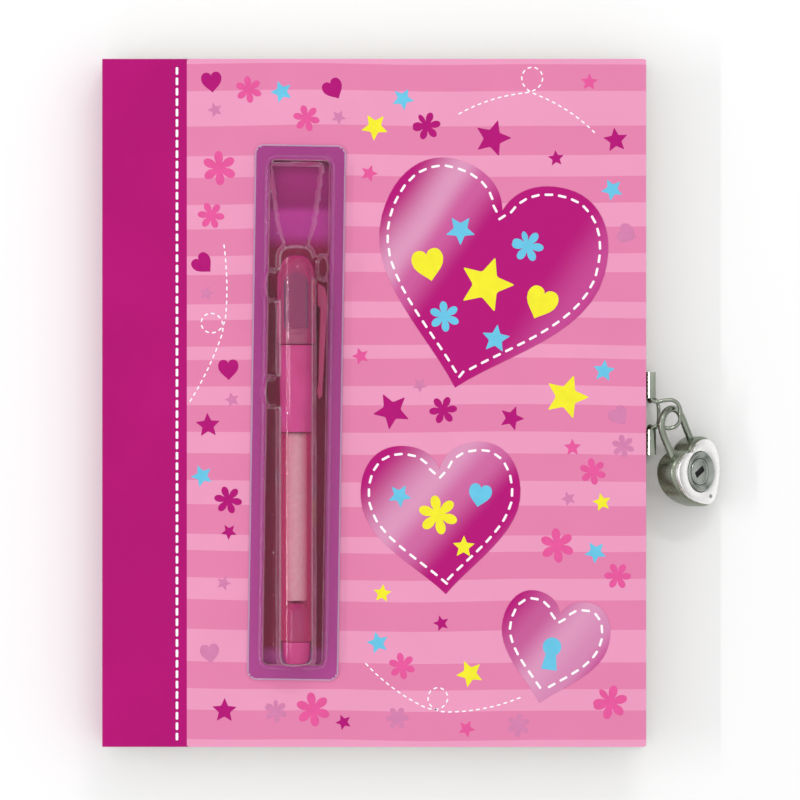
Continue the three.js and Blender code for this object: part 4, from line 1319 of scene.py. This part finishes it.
def bent_wire(name, points, radius, node):
    """Wire of nickel through the points. It stands for the node, and rides on the body of the same name."""
    curve = bpy.data.curves.new(name, "CURVE")
    curve.dimensions = "3D"
    curve.bevel_depth = radius
    curve.bevel_resolution = 6
    curve.resolution_u = 10
    curve.use_fill_caps = True
    spline = curve.splines.new("BEZIER")
    spline.bezier_points.add(len(points) - 1)
    for bend, point in zip(spline.bezier_points, points):
        bend.co = point
        bend.handle_left_type = "AUTO"
        bend.handle_right_type = "AUTO"
    curve.materials.append(WIRE_NICKEL)
    wire = in_scene(name, curve)
    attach(wire, node)
    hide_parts(node)
    print(name, len(points), "bends")


def hasp_loop(side, knuckle_z, tilt):
    out = Vector((math.cos(tilt), 0, math.sin(tilt))) * MM
    points = [Vector((knuckle_x, y * MM, knuckle_z)) + out * reach for reach, y in WIRE_BENDS_MM]
    bent_wire(side + "_hasp_loop", points, WIRE_RADIUS, side + "_loop")


hasp_loop("front", cover_top - KNUCKLE_RADIUS, FRONT_TILT)
hasp_loop("back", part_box("back_hasp")[0].z + KNUCKLE_RADIUS, BACK_TILT)

# %% Shackle
SHACKLE_WIRE = 1.1 * MM
SHACKLE_RADIUS = 5.3 * MM
HEEL_DEPTH = 7 * MM
TOE_DEPTH = 3.2 * MM
BEND_STEPS = 8
heel_route = (LOBE_TOP - HEEL_DEPTH, LOBE_TOP - MM, LOBE_TOP / 2)
shackle_route = [Vector((-SHACKLE_RADIUS, y, 0)) for y in heel_route]
shackle_route += [p.to_3d() for p in arc((0, 0), SHACKLE_RADIUS, 180, 0, BEND_STEPS)]
shackle_route += [Vector((SHACKLE_RADIUS, y, 0)) for y in (LOBE_TOP / 2, LOBE_TOP - TOE_DEPTH)]
bent_wire("padlock_shackle", [lock_place @ p for p in shackle_route], SHACKLE_WIRE, "shackle")

# %% [markdown]
# The diary is photographed on plain white. The floor is white card that also holds the soft shadow, and the
# world is a white studio: bright overhead and greyer towards the horizon, so that the metal has something
# dark to mirror. Two strip lamps, at the head end and on the left, draw thin highlights along the blister,
# the pen and the lock.

# %% Floor
FLOOR_SIZE = 3.0
FLOOR_GAP = 0.05 * MM
floor_shape = bmesh.new()
floor_place = Matrix.Translation((0, 0, cad_low.z - FLOOR_GAP))
bmesh.ops.create_grid(floor_shape, x_segments=1, y_segments=1, size=FLOOR_SIZE / 2, matrix=floor_place)
floor_mesh = bpy.data.meshes.new("floor")
floor_shape.to_mesh(floor_mesh)
floor_shape.free()
floor_mesh.materials.append(Finish("white_table", grey(0.94), 0.9).material)
in_scene("floor", floor_mesh)
print("floor", FLOOR_SIZE, "m wide")

# %% Light
WORLD_STOPS = [(0.05, grey(0.3)), (0.6, grey(1.0))]
WORLD_STRENGTH = 0.97
world = bpy.data.worlds.new("white_studio")
bpy.context.scene.world = world
studio = NodeGraph(world, "Generated")
sky = studio.ramp(studio.axis("Z"), WORLD_STOPS)
studio.feed(studio.nodes["Background"], {"Color": sky, "Strength": WORLD_STRENGTH})


def strip_lamp(name, place, length, width, watts):
    """A long narrow lamp that looks at the diary, for long thin highlights."""
    data = bpy.data.lights.new(name, "AREA")
    data.shape = "RECTANGLE"
    data.size = length
    data.size_y = width
    data.energy = watts
    lamp = in_scene(name, data)
    lamp.location = place
    lamp.rotation_euler = (-Vector(place)).to_track_quat("-Z", "Y").to_euler()


strip_lamp("lamp_head_end", (0.25, 0.9, 1.1), 0.5, 0.025, 2.5)
strip_lamp("lamp_left", (-1.0, 0.0, 0.9), 0.8, 0.02, 3.0)
bpy.context.scene.view_settings.view_transform = "Standard"
print("lamps", len(bpy.data.lights))
